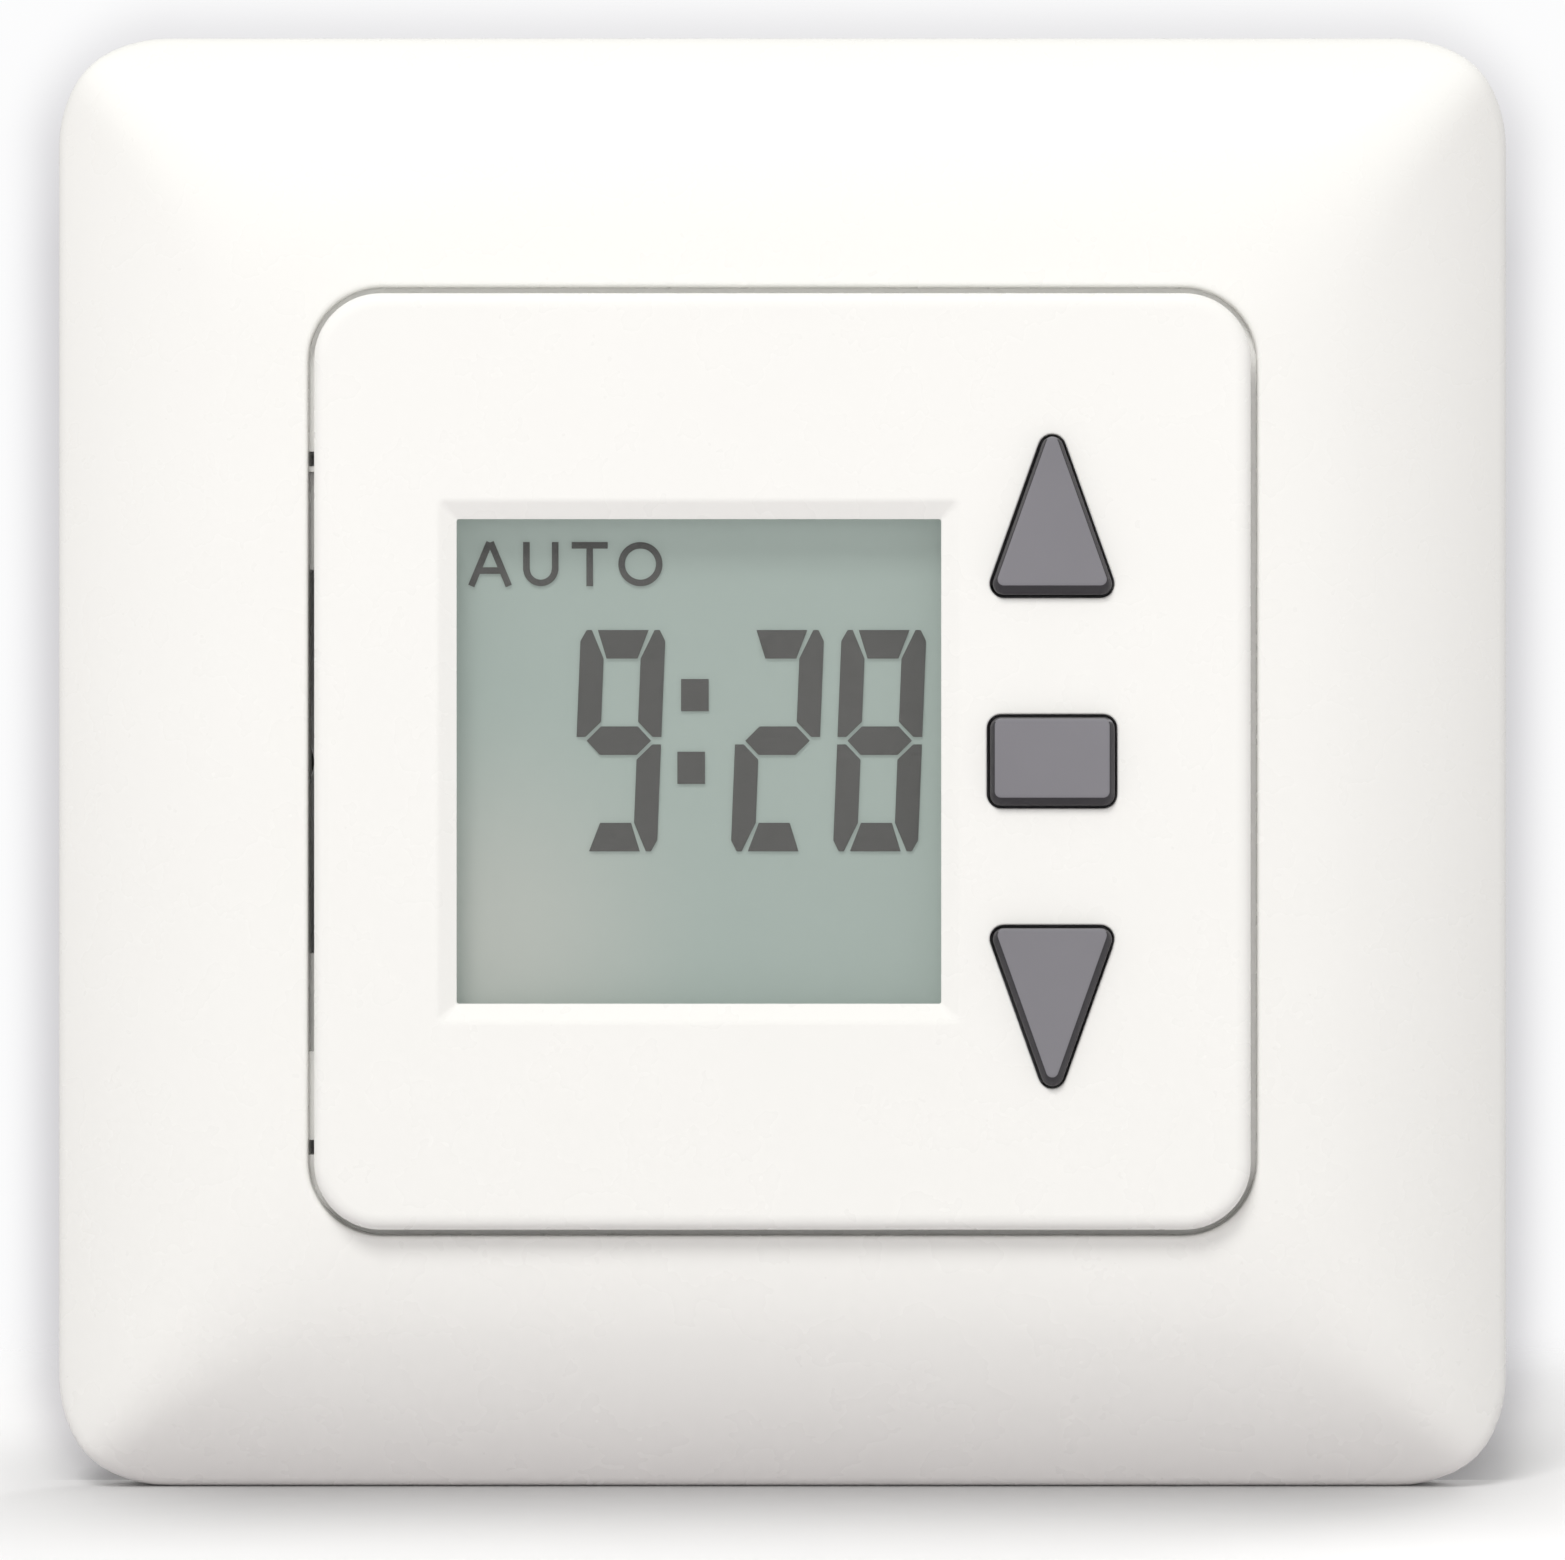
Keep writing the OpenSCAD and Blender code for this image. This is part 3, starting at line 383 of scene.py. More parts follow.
def make_camera():
    data = bpy.data.cameras.new("camera")
    data.sensor_width = 36.0
    data.lens = data.sensor_width * (CAMERA_DISTANCE - FRAME_EDGE * MM) / FIELD_WIDTH
    data.clip_start = 0.01
    data.clip_end = 20.0
    camera = bpy.data.objects.new("camera", data)
    camera.location = (0, -CAMERA_DISTANCE, -CAMERA_DROP)
    camera.rotation_euler = (math.radians(90), 0, 0)
    scene.collection.objects.link(camera)
    scene.camera = camera


def area_light(name, target, azimuth, elevation, distance, size, power, colour=(1, 1, 1)):
    """A rectangular softbox that looks at target. Azimuth 0 is in front, 90 to the right.

    Angles are in degrees, distance and size in metres and power in watts."""
    a, e = math.radians(azimuth), math.radians(elevation)
    way = Vector((math.sin(a) * math.cos(e), -math.cos(a) * math.cos(e), math.sin(e)))
    data = bpy.data.lights.new(name, "AREA")
    data.shape = "RECTANGLE"
    data.size, data.size_y = size
    data.energy = power
    data.color = colour
    lamp = bpy.data.objects.new(name, data)
    lamp.location = Vector(target) + way * distance
    lamp.rotation_euler = way.to_track_quat("Z", "Y").to_euler()
    scene.collection.objects.link(lamp)
    return lamp


def make_world():
    """A pale surround for the lamps to add to: its light is a little pinker from below."""
    strength_below, strength_above = 0.73, 0.58
    colour_below, colour_above = (1.0, 0.95, 0.98, 1), (1.0, 1.0, 0.98, 1)
    seen_colour = (0.975, 0.975, 0.98, 1)
    world = bpy.data.worlds.new("studio")
    world.use_nodes = True
    nodes, links = world.node_tree.nodes, world.node_tree.links
    nodes.clear()
    coords = nodes.new("ShaderNodeTexCoord")
    split = nodes.new("ShaderNodeSeparateXYZ")
    links.new(coords.outputs["Generated"], split.inputs["Vector"])
    height = nodes.new("ShaderNodeMapRange")
    height.inputs["From Min"].default_value = -0.7
    height.inputs["From Max"].default_value = 0.7
    height.inputs["To Min"].default_value = strength_below
    height.inputs["To Max"].default_value = strength_above
    links.new(split.outputs["Z"], height.inputs["Value"])
    light = nodes.new("ShaderNodeBackground")
    tint_mix = nodes.new("ShaderNodeMix")
    tint_mix.data_type = "RGBA"
    tint_mix.inputs["A"].default_value = colour_below
    tint_mix.inputs["B"].default_value = colour_above
    low_to_high = nodes.new("ShaderNodeMapRange")
    low_to_high.inputs["From Min"].default_value = -0.5
    low_to_high.inputs["From Max"].default_value = 0.1
    links.new(split.outputs["Z"], low_to_high.inputs["Value"])
    links.new(low_to_high.outputs["Result"], tint_mix.inputs["Factor"])
    links.new(tint_mix.outputs["Result"], light.inputs["Color"])
    links.new(height.outputs["Result"], light.inputs["Strength"])
    seen = nodes.new("ShaderNodeBackground")
    seen.inputs["Color"].default_value = seen_colour
    path = nodes.new("ShaderNodeLightPath")
    mix = nodes.new("ShaderNodeMixShader")
    links.new(path.outputs["Is Camera Ray"], mix.inputs["Fac"])
    links.new(light.outputs["Background"], mix.inputs[1])
    links.new(seen.outputs["Background"], mix.inputs[2])
    out = nodes.new("ShaderNodeOutputWorld")
    links.new(mix.outputs["Shader"], out.inputs["Surface"])
    scene.world = world


def make_lights():
    """A key from the upper left, a low fill, a lamp behind and two small gleams above."""
    scene.view_settings.view_transform = "Standard"
    face, middle, top_side = place(0, 0, FACE), place(0, 0, -12), place(0, 37, 6)
    warm, neutral = (1.0, 0.995, 0.98), (1.0, 0.995, 0.985)
    soft_lamps = (
        area_light("key", face, -15, 45, 1.1, size=(0.34, 0.34), power=6.3, colour=warm),
        area_light("fill", face, 4, 4, 1.2, size=(0.5, 0.5), power=1.6, colour=neutral),
        area_light("back", middle, 150, 32, 1.2, size=(0.5, 0.4), power=3.6, colour=neutral),
    )
    for lamp in soft_lamps:
        lamp.visible_glossy = False
    gleams = (
        area_light("gleam_left", top_side, -6.0, 72, 1.0, size=(0.10, 0.11), power=0.45),
        area_light("gleam_right", top_side, 5.0, 72, 1.0, size=(0.14, 0.11), power=0.6),
    )
    for lamp in gleams:
        lamp.visible_diffuse = False


def contact_shade(n):
    """Painted contact shadow: 1 away from the part, darker on the floor along its foot."""
    darkest = 0.55
    split = n.add("ShaderNodeSeparateXYZ")
    n.link(n.coords, split.inputs["Vector"])
    aside = n.math("ABSOLUTE", split.outputs["X"], 0.0)
    front = n.ease(split.outputs["Y"], -36 * MM, 2 * MM, 0.0, 1.0)
    behind = n.ease(split.outputs["Y"], 8 * MM, 40 * MM, 1.0, 0.0)
    across = n.ease(aside, 27 * MM, 52 * MM, 1.0, 0.0)
    depth = n.math("MULTIPLY", n.math("MULTIPLY", front, behind), across)
    return n.math("SUBTRACT", 1.0, n.math("MULTIPLY", depth, darkest))


def make_floor():
    """A pale round floor under the part, seen from above, that fades out into the surround, with
    a painted contact shadow along the part's foot.
    """
    foot, reach = cad_box[0].z, 0.4
    solid_mm, gone_mm = 34.0, 120.0
    n = textured("floor_paint", 0.8, grain_mm=0.8)
    path = n.add("ShaderNodeLightPath")
    seen = n.ramp(n.noise(20.0), (0.985, 0.98, 0.99), (0.995, 0.99, 1.0))
    # painted shadow: contact_shade darkens the floor's seen colour along the part's foot
    tone = n.mix(path.outputs["Is Camera Ray"], (0.62, 0.595, 0.615, 1),
                 n.scaled(seen, contact_shade(n)))
    n.drive("Base Color", tone)
    side = n.add("ShaderNodeNewGeometry")
    above = n.math("SUBTRACT", 1.0, side.outputs["Backfacing"])
    near_part = n.near((0, 0, foot / MM), solid_mm, gone_mm)
    n.drive("Alpha", n.math("MULTIPLY", above, near_part))
    mesh = bmesh.new()
    turns = [2 * math.pi * k / 96 for k in range(96)]
    ring = [mesh.verts.new((reach * math.cos(t), reach * math.sin(t), foot)) for t in turns]
    mesh.faces.new(ring)
    mesh.normal_update()
    if mesh.faces[:][0].normal.z < 0:
        bmesh.ops.reverse_faces(mesh, faces=mesh.faces)
    piece("floor", mesh, n.material)


SHEET_Z = -0.3  # the wall sheets lie just behind the wall plane


def join_loops(mesh, loops):
    """Joins flat loops of vertices, inner ones first, by faces that look at the room."""
    count = len(loops[0])
    for inner, outer in zip(loops, loops[1:]):
        for i in range(count):
            j = (i + 1) % count
            mesh.faces.new((inner[i], outer[i], outer[j], inner[j]))
    mesh.normal_update()
    if mesh.faces[:][0].normal.y > 0:
        bmesh.ops.reverse_faces(mesh, faces=mesh.faces)


def make_painted_wall_shadow():
    """A dark sheet that paints the wall's soft shadow round the frame, seen from the front only.

    It fades out within a few millimetres of the frame and lets all other light pass."""
    n = Nodes("painted_wall_shade")
    n.set(Roughness=0.9, Specular_IOR_Level=0.0)
    edge = n.tree.nodes.new("ShaderNodeVertexColor")
    edge.layer_name = "fade"
    # painted shadow: a dark lavender sheet whose alpha sets how deep the shade is
    n.drive("Base Color", n.ramp(n.noise(6.0), (0.055, 0.035, 0.080), (0.065, 0.045, 0.090)))
    fade_out = edge.outputs["Color"]
    depth = n.math("ADD", n.math("MULTIPLY", fade_out, 0.26), 0.10)
    shade = n.math("MULTIPLY", depth, fade_out)
    n.drive("Alpha", n.math("MULTIPLY", n.front_only(), shade))
    under, reach, steps = 1.5, 4.2, 14
    # painted light: the painted shade thins above the frame, where the key lamp falls
    top_from, top_run, top_loss = 30.0, 10.0, 0.35
    mesh = bmesh.new()
    fade = mesh.loops.layers.float_color.new("fade")
    loops, shares = [], {}
    for k in range(steps + 1):
        grow = -under + (reach + under) * k / steps
        outline = square_outline(FRAME_HALF + grow, FRAME_CORNER + grow, 12, 12)
        loops.append([mesh.verts.new(place(p.x, p.y, SHEET_Z)) for p in outline])
        across = max(grow, 0.0) / reach
        share = (1 - across) ** 2 * (1 + 2 * across)
        for p, corner in zip(outline, loops[-1]):
            above = min(max((p.y - top_from) / top_run, 0.0), 1.0)
            shares[corner] = share * (1 - top_loss * above)
    join_loops(mesh, loops)
    for face in mesh.faces:
        for corner in face.loops:
            corner[fade] = (shares[corner.vert],) * 3 + (1,)
    piece("wall_shadow_sheet", mesh, n.material)


def make_recess():
    """A dark sheet behind the plate's slots that paints the shade of the wall's recess, seen from
    the front only.
    """
    # painted shade: a near-black sheet stands in for the dark inside the wall's recess
    n = moulded("wall_recess", (0.03, 0.03, 0.03), 0.9)
    n.drive("Alpha", n.front_only())
    inner = square_outline(HOUSING.hi.x + 0.3, 8.3)
    outer = square_outline(FRAME_HALF - 2 * FRAME_WALL, 4.0)
    mesh = bmesh.new()
    join_loops(mesh, [[mesh.verts.new(place(p.x, p.y, SHEET_Z)) for p in outline]
                      for outline in (inner, outer)])
    piece("recess", mesh, n.material)


# ---------------------------------------------------------------------- cover frame


def bulge_height(d, inset=0.0):
    """Height of the frame's curved side at distance d from the middle."""
    centre = FRAME_HALF - BULGE_R * math.sin(BULGE_SLOPE)
    base = FRAME_EDGE - BULGE_R * math.cos(BULGE_SLOPE)
    across = max(d - centre, 0.0)
    return base + math.sqrt(max((BULGE_R - inset) ** 2 - across**2, 0.0))


HIP_SOFTNESS = 1.6  # how wide the soft ridge between two sides is, in mm of height


def frame_height(x, y, inset=0.0):
    """Height of the frame's face: the lower of its two sides, joined by a soft hip."""
    a, b = bulge_height(abs(x), inset), bulge_height(abs(y), inset)
    k = HIP_SOFTNESS
    if abs(a - b) >= k:
        return min(a, b)
    return min(a, b) - (k - abs(a - b)) ** 2 / (4 * k)


def frame_loop(half, radius, z=None, inset=0.0):
    """A loop round the frame, at one height or on its curved face when z is None."""
    outline = square_outline(half, radius, arc_steps=12, side_steps=48)
    if z is not None:
        return at_height(outline, z)
    return [(p.x, p.y, frame_height(p.x, p.y, inset)) for p in outline]


def mix_loops(a, b, c, steps):
    """Loops of a soft edge between loops a and c that bends at loop b."""
    columns = [fillet(p, q, r, steps) for p, q, r in zip(a, b, c)]
    return [[tuple(column[k]) for column in columns] for k in range(steps + 1)]


def groove_floor(loop):
    """Lowers a loop to the floor of the reveal, which is deepest along the bottom side."""
    shallow, deep = 0.2, 1.0
    start, run = OPENING_HALF - 4.0, 3.0
    shares = [min(max((-y - start) / run, 0.0), 1.0) for x, y, z in loop]
    return [(x, y, z - shallow - (deep - shallow) * k) for (x, y, z), k in zip(loop, shares)]


def frame_mesh():
    """The frame's closed shell, as loops from its inner lip out, round the rim and back in."""
    lip, edge, steps = 0.3, 0.55, 30

    def radius_at(half):
        share = (half - OPENING_HALF) / (FRAME_HALF - OPENING_HALF)
        return OPENING_CORNER + (FRAME_CORNER - OPENING_CORNER) * share

    inner, outer = OPENING_HALF + lip, FRAME_HALF - edge
    top = [inner + (outer - inner) * k / steps for k in range(steps + 1)]
    top_loops = [frame_loop(h, radius_at(h)) for h in top]
    lip_corner = frame_loop(OPENING_HALF, OPENING_CORNER)
    lip_low = [(x, y, z - lip) for x, y, z in lip_corner]
    edge_corner = frame_loop(FRAME_HALF, FRAME_CORNER)
    edge_low = [(x, y, z - edge) for x, y, z in edge_corner]
    inside = FRAME_HALF - FRAME_WALL
    inside_corner = FRAME_CORNER - FRAME_WALL
    roof = [RING_HALF + (inside - RING_HALF) * k / 10 for k in range(11)]
    loops = mix_loops(lip_low, lip_corner, top_loops[0], 5)
    loops += top_loops[1:-1]
    loops += mix_loops(top_loops[-1], edge_corner, edge_low, 6)
    loops.append(frame_loop(FRAME_HALF, FRAME_CORNER, 0.25))
    loops.append(frame_loop(FRAME_HALF - 0.25, FRAME_CORNER - 0.25, 0.0))
    loops.append(frame_loop(inside + 0.15, inside_corner + 0.15, 0.0))
    loops.append(frame_loop(inside, inside_corner, 0.15))
    loops += [frame_loop(h, inside_corner, None, FRAME_WALL) for h in reversed(roof)]
    loops.append(frame_loop(RING_HALF, inside_corner, LEDGE - LEDGE_T))
    loops.append(frame_loop(LEDGE_HALF, LEDGE_CORNER, LEDGE - LEDGE_T))
    loops.append(frame_loop(LEDGE_HALF, LEDGE_CORNER, LEDGE))
    groove, groove_corner = COVER_HALF - 0.2, COVER_CORNER - 0.2
    loops.append(frame_loop(groove, groove_corner, LEDGE))
    loops.append(groove_floor(frame_loop(groove, groove_corner, LEDGE)))
    loops.append(groove_floor(frame_loop(OPENING_HALF, OPENING_CORNER, LEDGE)))
    return loft(loops, closed=True)


def frame_ribs():
    """Low stiffening ribs under the curved sides, from the ring out to the rim."""
    rib_h, half_t, embed, count = 0.8, 0.5, 0.5, 10
    places = (-30, -18, -6, 6, 18, 30)
    outer = FRAME_HALF - FRAME_WALL + embed
    inner = RING_HALF - embed
    under, over = [], []
    for k in range(count + 1):
        d = inner + (outer - inner) * k / count
        under.append(Vector((d, bulge_height(d, FRAME_WALL + rib_h))))
        over.append(Vector((d, bulge_height(d, FRAME_WALL) + embed)))
    side = under + over[::-1]
    tools = []
    for turn in range(4):
        c, s = (1, 0, -1, 0)[turn], (0, 1, 0, -1)[turn]
        for offset in places:
            loops = []
            for v in (offset - half_t, offset + half_t):
                loops.append([(p.x * c - v * s, p.x * s + v * c, p.y) for p in side])
            tools.append(loft(loops))
    return tools


def ledge_cuts():
    """The air slot and its small end slits, cut into the left side of the ledge."""
    slot_half, channel_half, channel_depth = 10.4, 15.7, 0.9
    slit_half, slits = 0.4, (16.4, -20.9)
    clear = 0.5
    left, right = -OPENING_HALF + 0.001, -LEDGE_HALF + clear
    under, over = LEDGE - LEDGE_T - clear, LEDGE + clear
    cuts = [block(left, right, -slot_half, slot_half, under, over)]
    cuts.append(block(left, right, -channel_half, channel_half, LEDGE - channel_depth, over))
    cuts += [block(left, right, y - slit_half, y + slit_half, under, over) for y in slits]
    return cuts


def make_frame(material):
    obj = piece("frame_shell", frame_mesh(), material)
    carve(obj, frame_ribs(), "UNION")
    carve(obj, ledge_cuts(), "DIFFERENCE")
    even_normals(obj)
    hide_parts("cover_frame")
    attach(obj, "root")


# ---------------------------------------------------------------------- front cover

KEY_X = 14.5
ARROW_BASE = 8.8
ARROW_L = 8.8
ARROW_W = 6.7
SET_HALF = (3.5, 2.525)
KEY_CORNER = 0.75
KEY_GAP = 0.15
KEY_HOLE_SOFT = 0.12


def key_outline(kind, grow, arc_steps=8):
    """Outline of a key, grown by grow all round: kind 1 is up, 0 the middle, -1 down."""
    r = KEY_CORNER + grow
    if kind == 0:
        wide, high = SET_HALF
        points = square_outline(wide + grow, r, arc_steps, high=high + grow)
        return [p + Vector((KEY_X, 0)) for p in points]
    half, base, tip = ARROW_W / 2 - KEY_CORNER, ARROW_BASE + KEY_CORNER, ARROW_BASE + ARROW_L
    centres = [Vector((half, base)), Vector((0, tip - KEY_CORNER)), Vector((-half, base))]
    points = rounded_outline(centres, r, arc_steps)
    return [Vector((KEY_X + p.x, kind * p.y)) for p in points]


def cover_mesh():
    """The cover as loops: inside of the skirt, its end, its outside, the rim and the face."""
    soft, rim_soft = 0.9, 0.15
    inner_half = SKIRT_HALF - SKIRT_WALL
    inner_corner = SKIRT_CORNER - SKIRT_WALL

    def loop(half, radius, z):
        return at_height(square_outline(half, radius, arc_steps=16, side_steps=1), z)

    loops = [loop(inner_half, inner_corner, FACE_BACK), loop(inner_half, inner_corner, SKIRT_END)]
    loops.append(loop(SKIRT_HALF, SKIRT_CORNER, SKIRT_END))
    loops.append(loop(SKIRT_HALF, SKIRT_CORNER, RIM_BACK))
    loops.append(loop(COVER_HALF - rim_soft, COVER_CORNER - rim_soft, RIM_BACK))
    loops.append(loop(COVER_HALF, COVER_CORNER, RIM_BACK + rim_soft))
    for inset, z in fillet((0.0, FACE - soft), (0.0, FACE), (soft, FACE), 10):
        loops.append(loop(COVER_HALF - inset, COVER_CORNER - inset, z))
    return loft(loops)


def flared(outline_at, low, mouth, flare, steps=4):
    """A cutter for a hole whose mouth opens with a soft edge of the given size."""
    loops = [at_height(outline_at(0.0), low), at_height(outline_at(0.0), mouth - flare)]
    for grow, z in fillet((0.0, mouth - flare), (0.0, mouth), (flare, mouth), steps)[1:]:
        loops.append(at_height(outline_at(grow), z))
    loops.append(at_height(outline_at(flare), mouth + 0.5))
    return loft(loops)


def window_cutter():
    """The sloped bezel: it widens from the lens to the face, with soft edges."""
    slope, soft, depth = 1.0, 0.16, 0.4
    low = FACE - depth

    def outline(grow):
        points = square_outline(WINDOW_HALF + grow, 0.12 + grow * 0.25, arc_steps=4)
        return [p + Vector((WINDOW_X, 0)) for p in points]

    loops = [at_height(outline(0.0), FACE_BACK - 0.5), at_height(outline(0.0), low)]
    rim_start = (slope - soft, FACE - soft * depth / slope)
    rim = fillet(rim_start, (slope, FACE), (slope + soft, FACE), 4)
    loops += [at_height(outline(grow), z) for grow, z in rim]
    loops.append(at_height(outline(slope + soft), FACE + 0.5))
    return loft(loops)


def cover_cutters():
    """The window, the lens's seat behind it, the key holes and the air slots."""
    lens_half = LENS.size.x / 2 + 0.05
    behind = FACE_BACK - 0.5
    x = WINDOW_X
    cutters = [window_cutter()]
    cutters.append(block(x - lens_half, x + lens_half, -lens_half, lens_half, behind, LENS.hi.z))
    for kind in (-1, 0, 1):
        cutters.append(flared(lambda g, k=kind: key_outline(k, g), behind, FACE, KEY_HOLE_SOFT))
    return cutters + vent_cutters()


def vent_cutters():
    """Seven air slots in the skirt's left side and seven in its bottom side."""
    pitch, half, bottom_row_x = 2.4, 0.6, -12.0
    low, high = BOARD.hi.z + 0.2, BOARD.hi.z + 4.4
    outer = SKIRT_HALF + 0.5
    inner = SKIRT_HALF - SKIRT_WALL - 0.5
    cutters = []
    for i in range(-3, 4):
        x, y = bottom_row_x + i * pitch, i * pitch
        cutters.append(block(x - half, x + half, -outer, -inner, low, high))
        cutters.append(block(-outer, -inner, y - half, y + half, low, high))
    return cutters


POST_XY = 19.25  # screw posts behind the face
POST_R = 2.1
BORE_R = 0.85
BORE_DEPTH = 4.0


def circle_outline(x, y, r, steps=24):
    turns = [2 * math.pi * k / steps for k in range(steps)]
    return [Vector((x + r * math.cos(t), y + r * math.sin(t))) for t in turns]


def corners(xy):
    """The four corners of a square about the middle."""
    return [(sx * xy, sy * xy) for sx in (-1, 1) for sy in (-1, 1)]


def make_cover(material):
    obj = piece("cover_shell", cover_mesh(), material)
    foot = BOARD.hi.z
    posts = [prism(circle_outline(x, y, POST_R), foot, FACE_BACK + 0.3)
             for x, y in corners(POST_XY)]
    bores = [prism(circle_outline(x, y, BORE_R, 16), foot - 1, foot + BORE_DEPTH)
             for x, y in corners(POST_XY)]
    carve(obj, posts, "UNION")
    carve(obj, cover_cutters() + bores, "DIFFERENCE")
    even_normals(obj)
    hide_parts("front_cover")
    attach(obj, "display_unit")


# ----------------------------------------------------------------------------- keys


def key_materials():
    """The keys' pale satin tops, and their smoother flanks painted dark as painted shade."""
    top = moulded("key_top", (0.208, 0.203, 0.222), 0.48, 0.16, 0.004, 0.05)
    # painted shade: the flanks are dark for the shade that falls on the key's sides
    painted_flank_shade = moulded("key_flank_painted_shade", (0.030, 0.028, 0.033), 0.45, 0.2, 0.003, 0.08)
    return top.material, painted_flank_shade.material


def make_key(name, kind, materials):
    """A key cap: its foot, its sides and a chamfered top that sits a little high and left; its
    flanks carry painted shade.
    """
    box = Box(name)
    flange, foot_top = 0.5, box.lo.z + 0.7
    chamfer, rise, crown = 0.27, 0.34, 0.03
    lift = Vector((-0.03, 0.16 if kind == 0 else 0.22))

    def loop(grow, z, share=0.0):
        return [(p.x + lift.x * share, p.y + lift.y * share, z) for p in key_outline(kind, grow)]

    top = box.hi.z
    loops = [loop(flange - 0.1, box.lo.z), loop(flange, box.lo.z + 0.1), loop(flange, foot_top)]
    loops += [loop(-KEY_GAP, foot_top), loop(-KEY_GAP, top - rise - 0.12)]
    loops.append(loop(-KEY_GAP - 0.03, top - rise, 0.06))
    loops.append(loop(-KEY_GAP - chamfer + 0.06, top - crown - 0.05, 0.86))
    loops.append(loop(-KEY_GAP - chamfer, top - crown, 1.0))
    loops.append(loop(-KEY_GAP - chamfer - 0.16, top, 1.0))
    mesh = loft(loops)
    mesh.normal_update()
    # painted shade: faces that look out or up take the pale top colour, all others the dark flank
    # colour
    for face in mesh.faces:
        looks_out, looks_up = face.normal.y < -0.9, face.normal.z > 0.45 and face.normal.y < -0.3
        face.material_index = 0 if looks_out or looks_up else 1
    obj = piece(name + "_cap", mesh, materials[0], 50.0)
    obj.data.materials.append(materials[1])
    even_normals(obj)
    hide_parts(name)
    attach(obj, name)


# -------------------------------------------------------------------- display cell


def reflector_material():
    """Green-grey backing with a fine sparkle, a painted reflection at its lower left, painted
    light along its top and a painted glow.
    """
    n = textured("lcd_reflector", 0.6, 0.12, 0.003)
    fine = n.ramp(n.noise(0.22, detail=4.0), (0.232, 0.276, 0.257), (0.242, 0.287, 0.267))
    # painted reflection: the backing is paler at its lower left
    painted_reflection = n.near((LENS.lo.x + 1.0, 0, -10.0), 3.0, 17.0)
    blend = n.mix(painted_reflection, fine, (0.42, 0.395, 0.37, 1))
    split = n.add("ShaderNodeSeparateXYZ")
    n.link(n.coords, split.inputs["Vector"])
    top, band = (LENS.hi.y - LENS_LAP) * MM, 2.6 * MM
    # painted light: lighter along the top, where the bezel shades the backing
    painted_top_light = n.ease(split.outputs["Z"], top - band, top, 1.0, 1.3)
    n.drive("Base Color", n.scaled(blend, painted_top_light))
    # painted glow: the backing gives off a little light of its own, though it is no lamp
    n.set(Emission_Color=(0.40, 0.47, 0.43, 1), Emission_Strength=0.46)
    return n.material


def make_cell():
    """The liquid-crystal cell: glasses, seal and film as one block, and the backing in it."""
    front, rear, film = Box("lcd_front_glass"), Box("lcd_rear_glass"), Box("lcd_front_polariser")
    back = Box("lcd_reflector")
    seam = (rear.hi.z + front.lo.z) / 2

    def loop(box, z, inset=0.0):
        wide, high = box.size.x / 2 - inset, box.size.y / 2 - inset
        outline = square_outline(wide, 0.25, arc_steps=3, high=high)
        return [(p.x + box.mid.x, p.y + box.mid.y, z) for p in outline]

    edge = 0.06
    loops = [loop(rear, back.lo.z, edge), loop(rear, back.lo.z + edge), loop(rear, seam)]
    loops += [loop(front, seam), loop(front, front.hi.z - edge), loop(front, front.hi.z, edge)]
    loops += [loop(film, film.lo.z + 0.01), loop(film, film.hi.z, 0.02)]
    n = moulded("lcd_cell", (0.06, 0.07, 0.065), 0.12, 1.2, 0.0004, 0.03)
    n.set(Alpha=0.04, IOR=1.49)
    obj = piece("display_cell", loft(loops), n.material)
    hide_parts("lcd_front_glass", "lcd_rear_glass", "lcd_front_polariser", "lcd_seal")
    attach(obj, "display_unit")
    inset = 0.15
    loops = [loop(back, back.lo.z + 0.04, inset + 0.03), loop(back, back.lo.z + 0.07, inset)]
    top = Box("lcd_segments").lo.z - 0.12
    loops += [loop(back, top - 0.03, inset), loop(back, top, inset + 0.03)]
    sheet = piece("display_backing", loft(loops), reflector_material())
    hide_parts("lcd_reflector")
    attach(sheet, "display_unit")


# -------------------------------------------------------------------- CAD materials


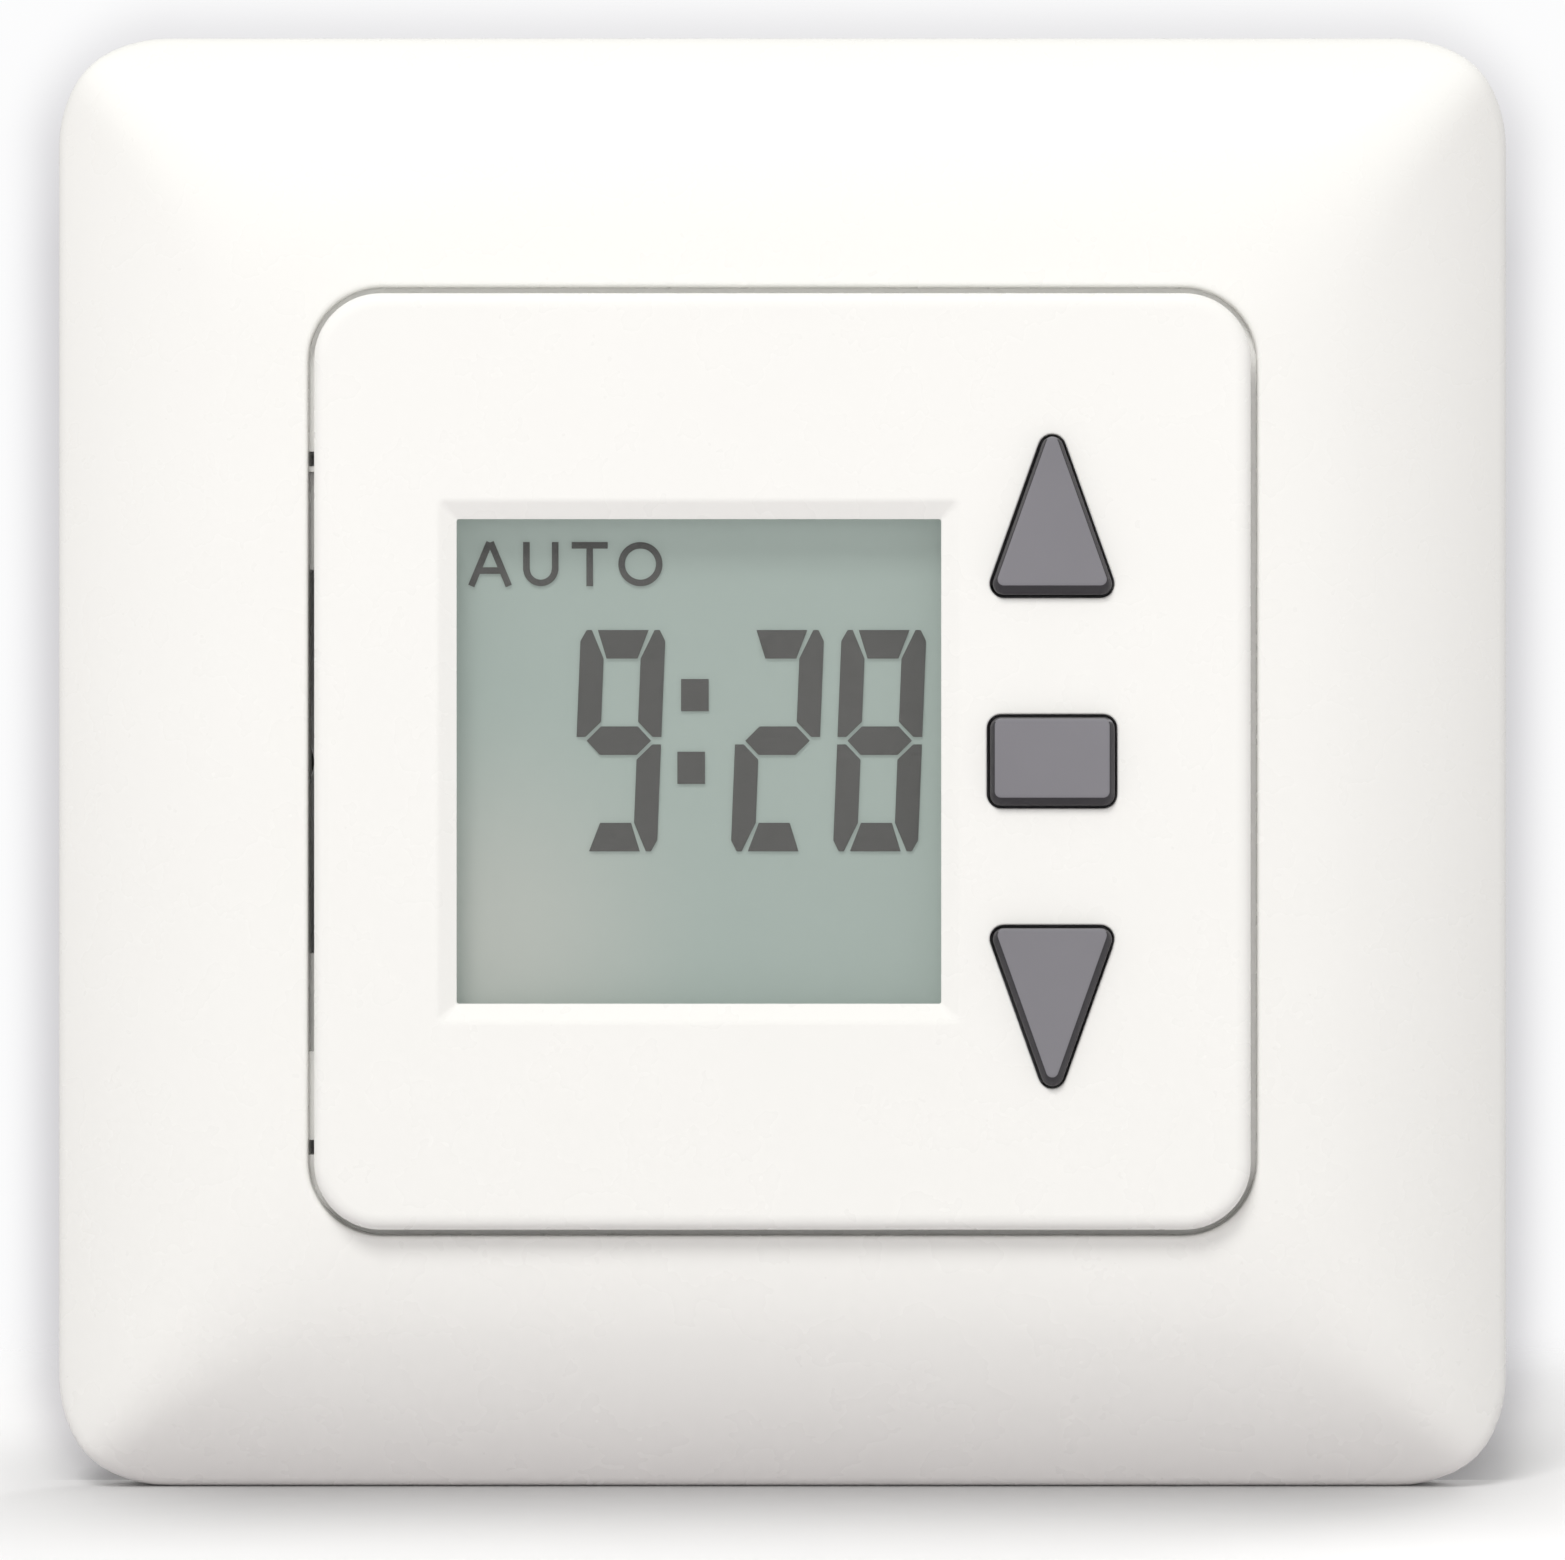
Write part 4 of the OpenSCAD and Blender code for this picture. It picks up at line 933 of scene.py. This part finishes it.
def cad_materials():
    """A material for every node that is shown as packed."""
    housing = moulded("housing_plastic", (0.74, 0.74, 0.71), 0.48, 0.35, 0.010, 0.03)
    holder = moulded("holder_plastic", (0.80, 0.80, 0.78), 0.45)
    black = moulded("black_plastic", (0.022, 0.022, 0.024), 0.42, 0.2, 0.006, 0.12)
    chip = moulded("chip_epoxy", (0.03, 0.03, 0.033), 0.55, 0.12, 0.006, 0.15)
    laminate = moulded("board_laminate", (0.018, 0.14, 0.055), 0.32, 0.5, 0.004, 0.15)
    terminal = moulded("terminal_plastic", (0.045, 0.048, 0.052), 0.45, 0.2, 0.006, 0.1)
    relay = moulded("relay_plastic", (0.02, 0.07, 0.30), 0.35, 0.3, 0.004, 0.08)
    yellow = moulded("capacitor_box", (0.70, 0.50, 0.04), 0.35, 0.3, 0.004, 0.05)
    sleeve = moulded("capacitor_sleeve", (0.02, 0.03, 0.09), 0.25, 0.6, 0.003, 0.1)
    varistor = moulded("varistor_coat", (0.02, 0.12, 0.35), 0.3, 0.9, 0.02, 0.12)
    resistor = moulded("resistor_coat", (0.12, 0.30, 0.20), 0.5, 0.4, 0.012, 0.1)
    winding = metal("coil_winding", (0.55, 0.20, 0.06), 0.3, (8, 0.2, 8), 0.8, 0.03)
    plate = metal("plate_steel", (0.62, 0.63, 0.64), 0.32, (1, 1, 0.06), 0.35, 0.003)
    screw = metal("screw_steel", (0.66, 0.66, 0.64), 0.28, (1, 1, 1), 0.4, 0.004)
    iron = metal("relay_iron", (0.45, 0.45, 0.46), 0.38, (1, 1, 1), 0.3, 0.004)
    brass = metal("clamp_brass", (0.70, 0.48, 0.20), 0.32, (1, 0.2, 1), 0.3, 0.004)
    bronze = metal("spring_bronze", (0.72, 0.40, 0.20), 0.28, (0.2, 1, 1), 0.3, 0.003)
    gold = metal("contact_gold", (0.85, 0.62, 0.25), 0.22, (1, 0.2, 1), 0.2, 0.002)
    can = metal("can_metal", (0.68, 0.68, 0.69), 0.25, (1, 1, 1), 0.25, 0.003)
    window = moulded("clear_window", (0.06, 0.065, 0.062), 0.08, 1.5, 0.0006, 0.02)
    window.set(Alpha=0.04, IOR=1.49)
    rubber = moulded("contact_rubber", (0.18, 0.18, 0.19), 0.7, 0.15, 0.02, 0.2)
    bead = moulded("sensor_bead", (0.03, 0.03, 0.03), 0.25, 0.8, 0.01, 0.1)
    ivory = moulded("plunger_plastic", (0.70, 0.64, 0.48), 0.45)
    dark = moulded("lcd_dark", (0.112, 0.112, 0.108), 0.5, 0.3, 0.001, 0.06)
    return {
        "base_housing": housing, "base_cover": housing, "unit_back": housing,
        "lcd_holder": holder, "socket_strip": black, "header_strip": black,
        "relay_base": black, "key_switches": black, "controller_chip": chip,
        "power_board_chips": chip, "display_board_chips": chip, "rectifier": chip,
        "power_board": laminate, "display_board": laminate, "terminal_block": terminal,
        "relay_case": relay, "mains_capacitor": yellow, "smoothing_capacitor": sleeve,
        "surge_varistor": varistor, "fusible_resistor": resistor, "relay_coil": winding,
        "mounting_plate": plate, "base_screws": screw, "unit_screws": screw,
        "terminal_screws": screw, "relay_yoke": iron, "relay_armature": iron,
        "terminal_clamps": brass, "relay_contact_arm": bronze,
        "relay_fixed_contact": bronze, "socket_contacts": gold, "header_pins": gold,
        "clock_crystal": can, "backup_cell": can, "switch_covers": can,
        "switch_domes": can, "display_window": window, "contact_strips": rubber,
        "temperature_sensor": bead, "plunger_up": ivory, "plunger_set": ivory,
        "plunger_down": ivory, "lcd_segments": dark,
    }


EDGE_MM = {
    "base_housing": 0.45, "base_cover": 0.25, "unit_back": 0.2, "mounting_plate": 0.12,
    "lcd_holder": 0.1, "terminal_block": 0.25, "relay_case": 0.3, "relay_base": 0.15,
    "mains_capacitor": 0.35, "smoothing_capacitor": 0.3, "surge_varistor": 0.4,
    "fusible_resistor": 0.15, "rectifier": 0.12, "power_board": 0.06, "display_board": 0.06,
    "controller_chip": 0.04, "power_board_chips": 0.06, "display_board_chips": 0.04,
    "key_switches": 0.12, "switch_covers": 0.04, "backup_cell": 0.12, "clock_crystal": 0.08,
    "socket_strip": 0.1, "header_strip": 0.1, "terminal_clamps": 0.1, "terminal_screws": 0.08,
    "base_screws": 0.1, "unit_screws": 0.08, "contact_strips": 0.12, "relay_yoke": 0.1,
    "relay_armature": 0.08, "relay_coil": 0.1, "header_pins": 0.05, "plunger_up": 0.15,
    "plunger_set": 0.15, "plunger_down": 0.15, "temperature_sensor": 0.2,
}


def soften(node, width_mm):
    """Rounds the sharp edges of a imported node."""
    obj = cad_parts[node]
    obj.modifiers.new("weld", "WELD").merge_threshold = 0.002 * MM
    flat = obj.modifiers.new("merge flat faces", "DECIMATE")
    flat.decimate_type = "DISSOLVE"
    flat.angle_limit = math.radians(0.6)
    bevel = obj.modifiers.new("soft edges", "BEVEL")
    bevel.width = width_mm * MM
    bevel.segments = 2
    bevel.limit_method = "ANGLE"
    bevel.angle_limit = math.radians(35)
    bevel.harden_normals = True


def dress_cad():
    for node, width_mm in EDGE_MM.items():
        soften(node, width_mm)
    for node, n in cad_materials().items():
        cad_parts[node].data.materials.clear()
        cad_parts[node].data.materials.append(n.material)


# ----------------------------------------------------------------------------- make

make_camera()
make_world()
make_lights()
make_floor()
make_painted_wall_shadow()
make_recess()
white = moulded("white_gloss", (0.875, 0.870, 0.845), 0.28, 0.5, 0.0006, 0.004)
key_top_and_shade = key_materials()
make_frame(white.material)
make_cover(white.material)
for key_name, key_kind in (("key_up", 1), ("key_set", 0), ("key_down", -1)):
    make_key(key_name, key_kind, key_top_and_shade)
make_cell()
dress_cad()
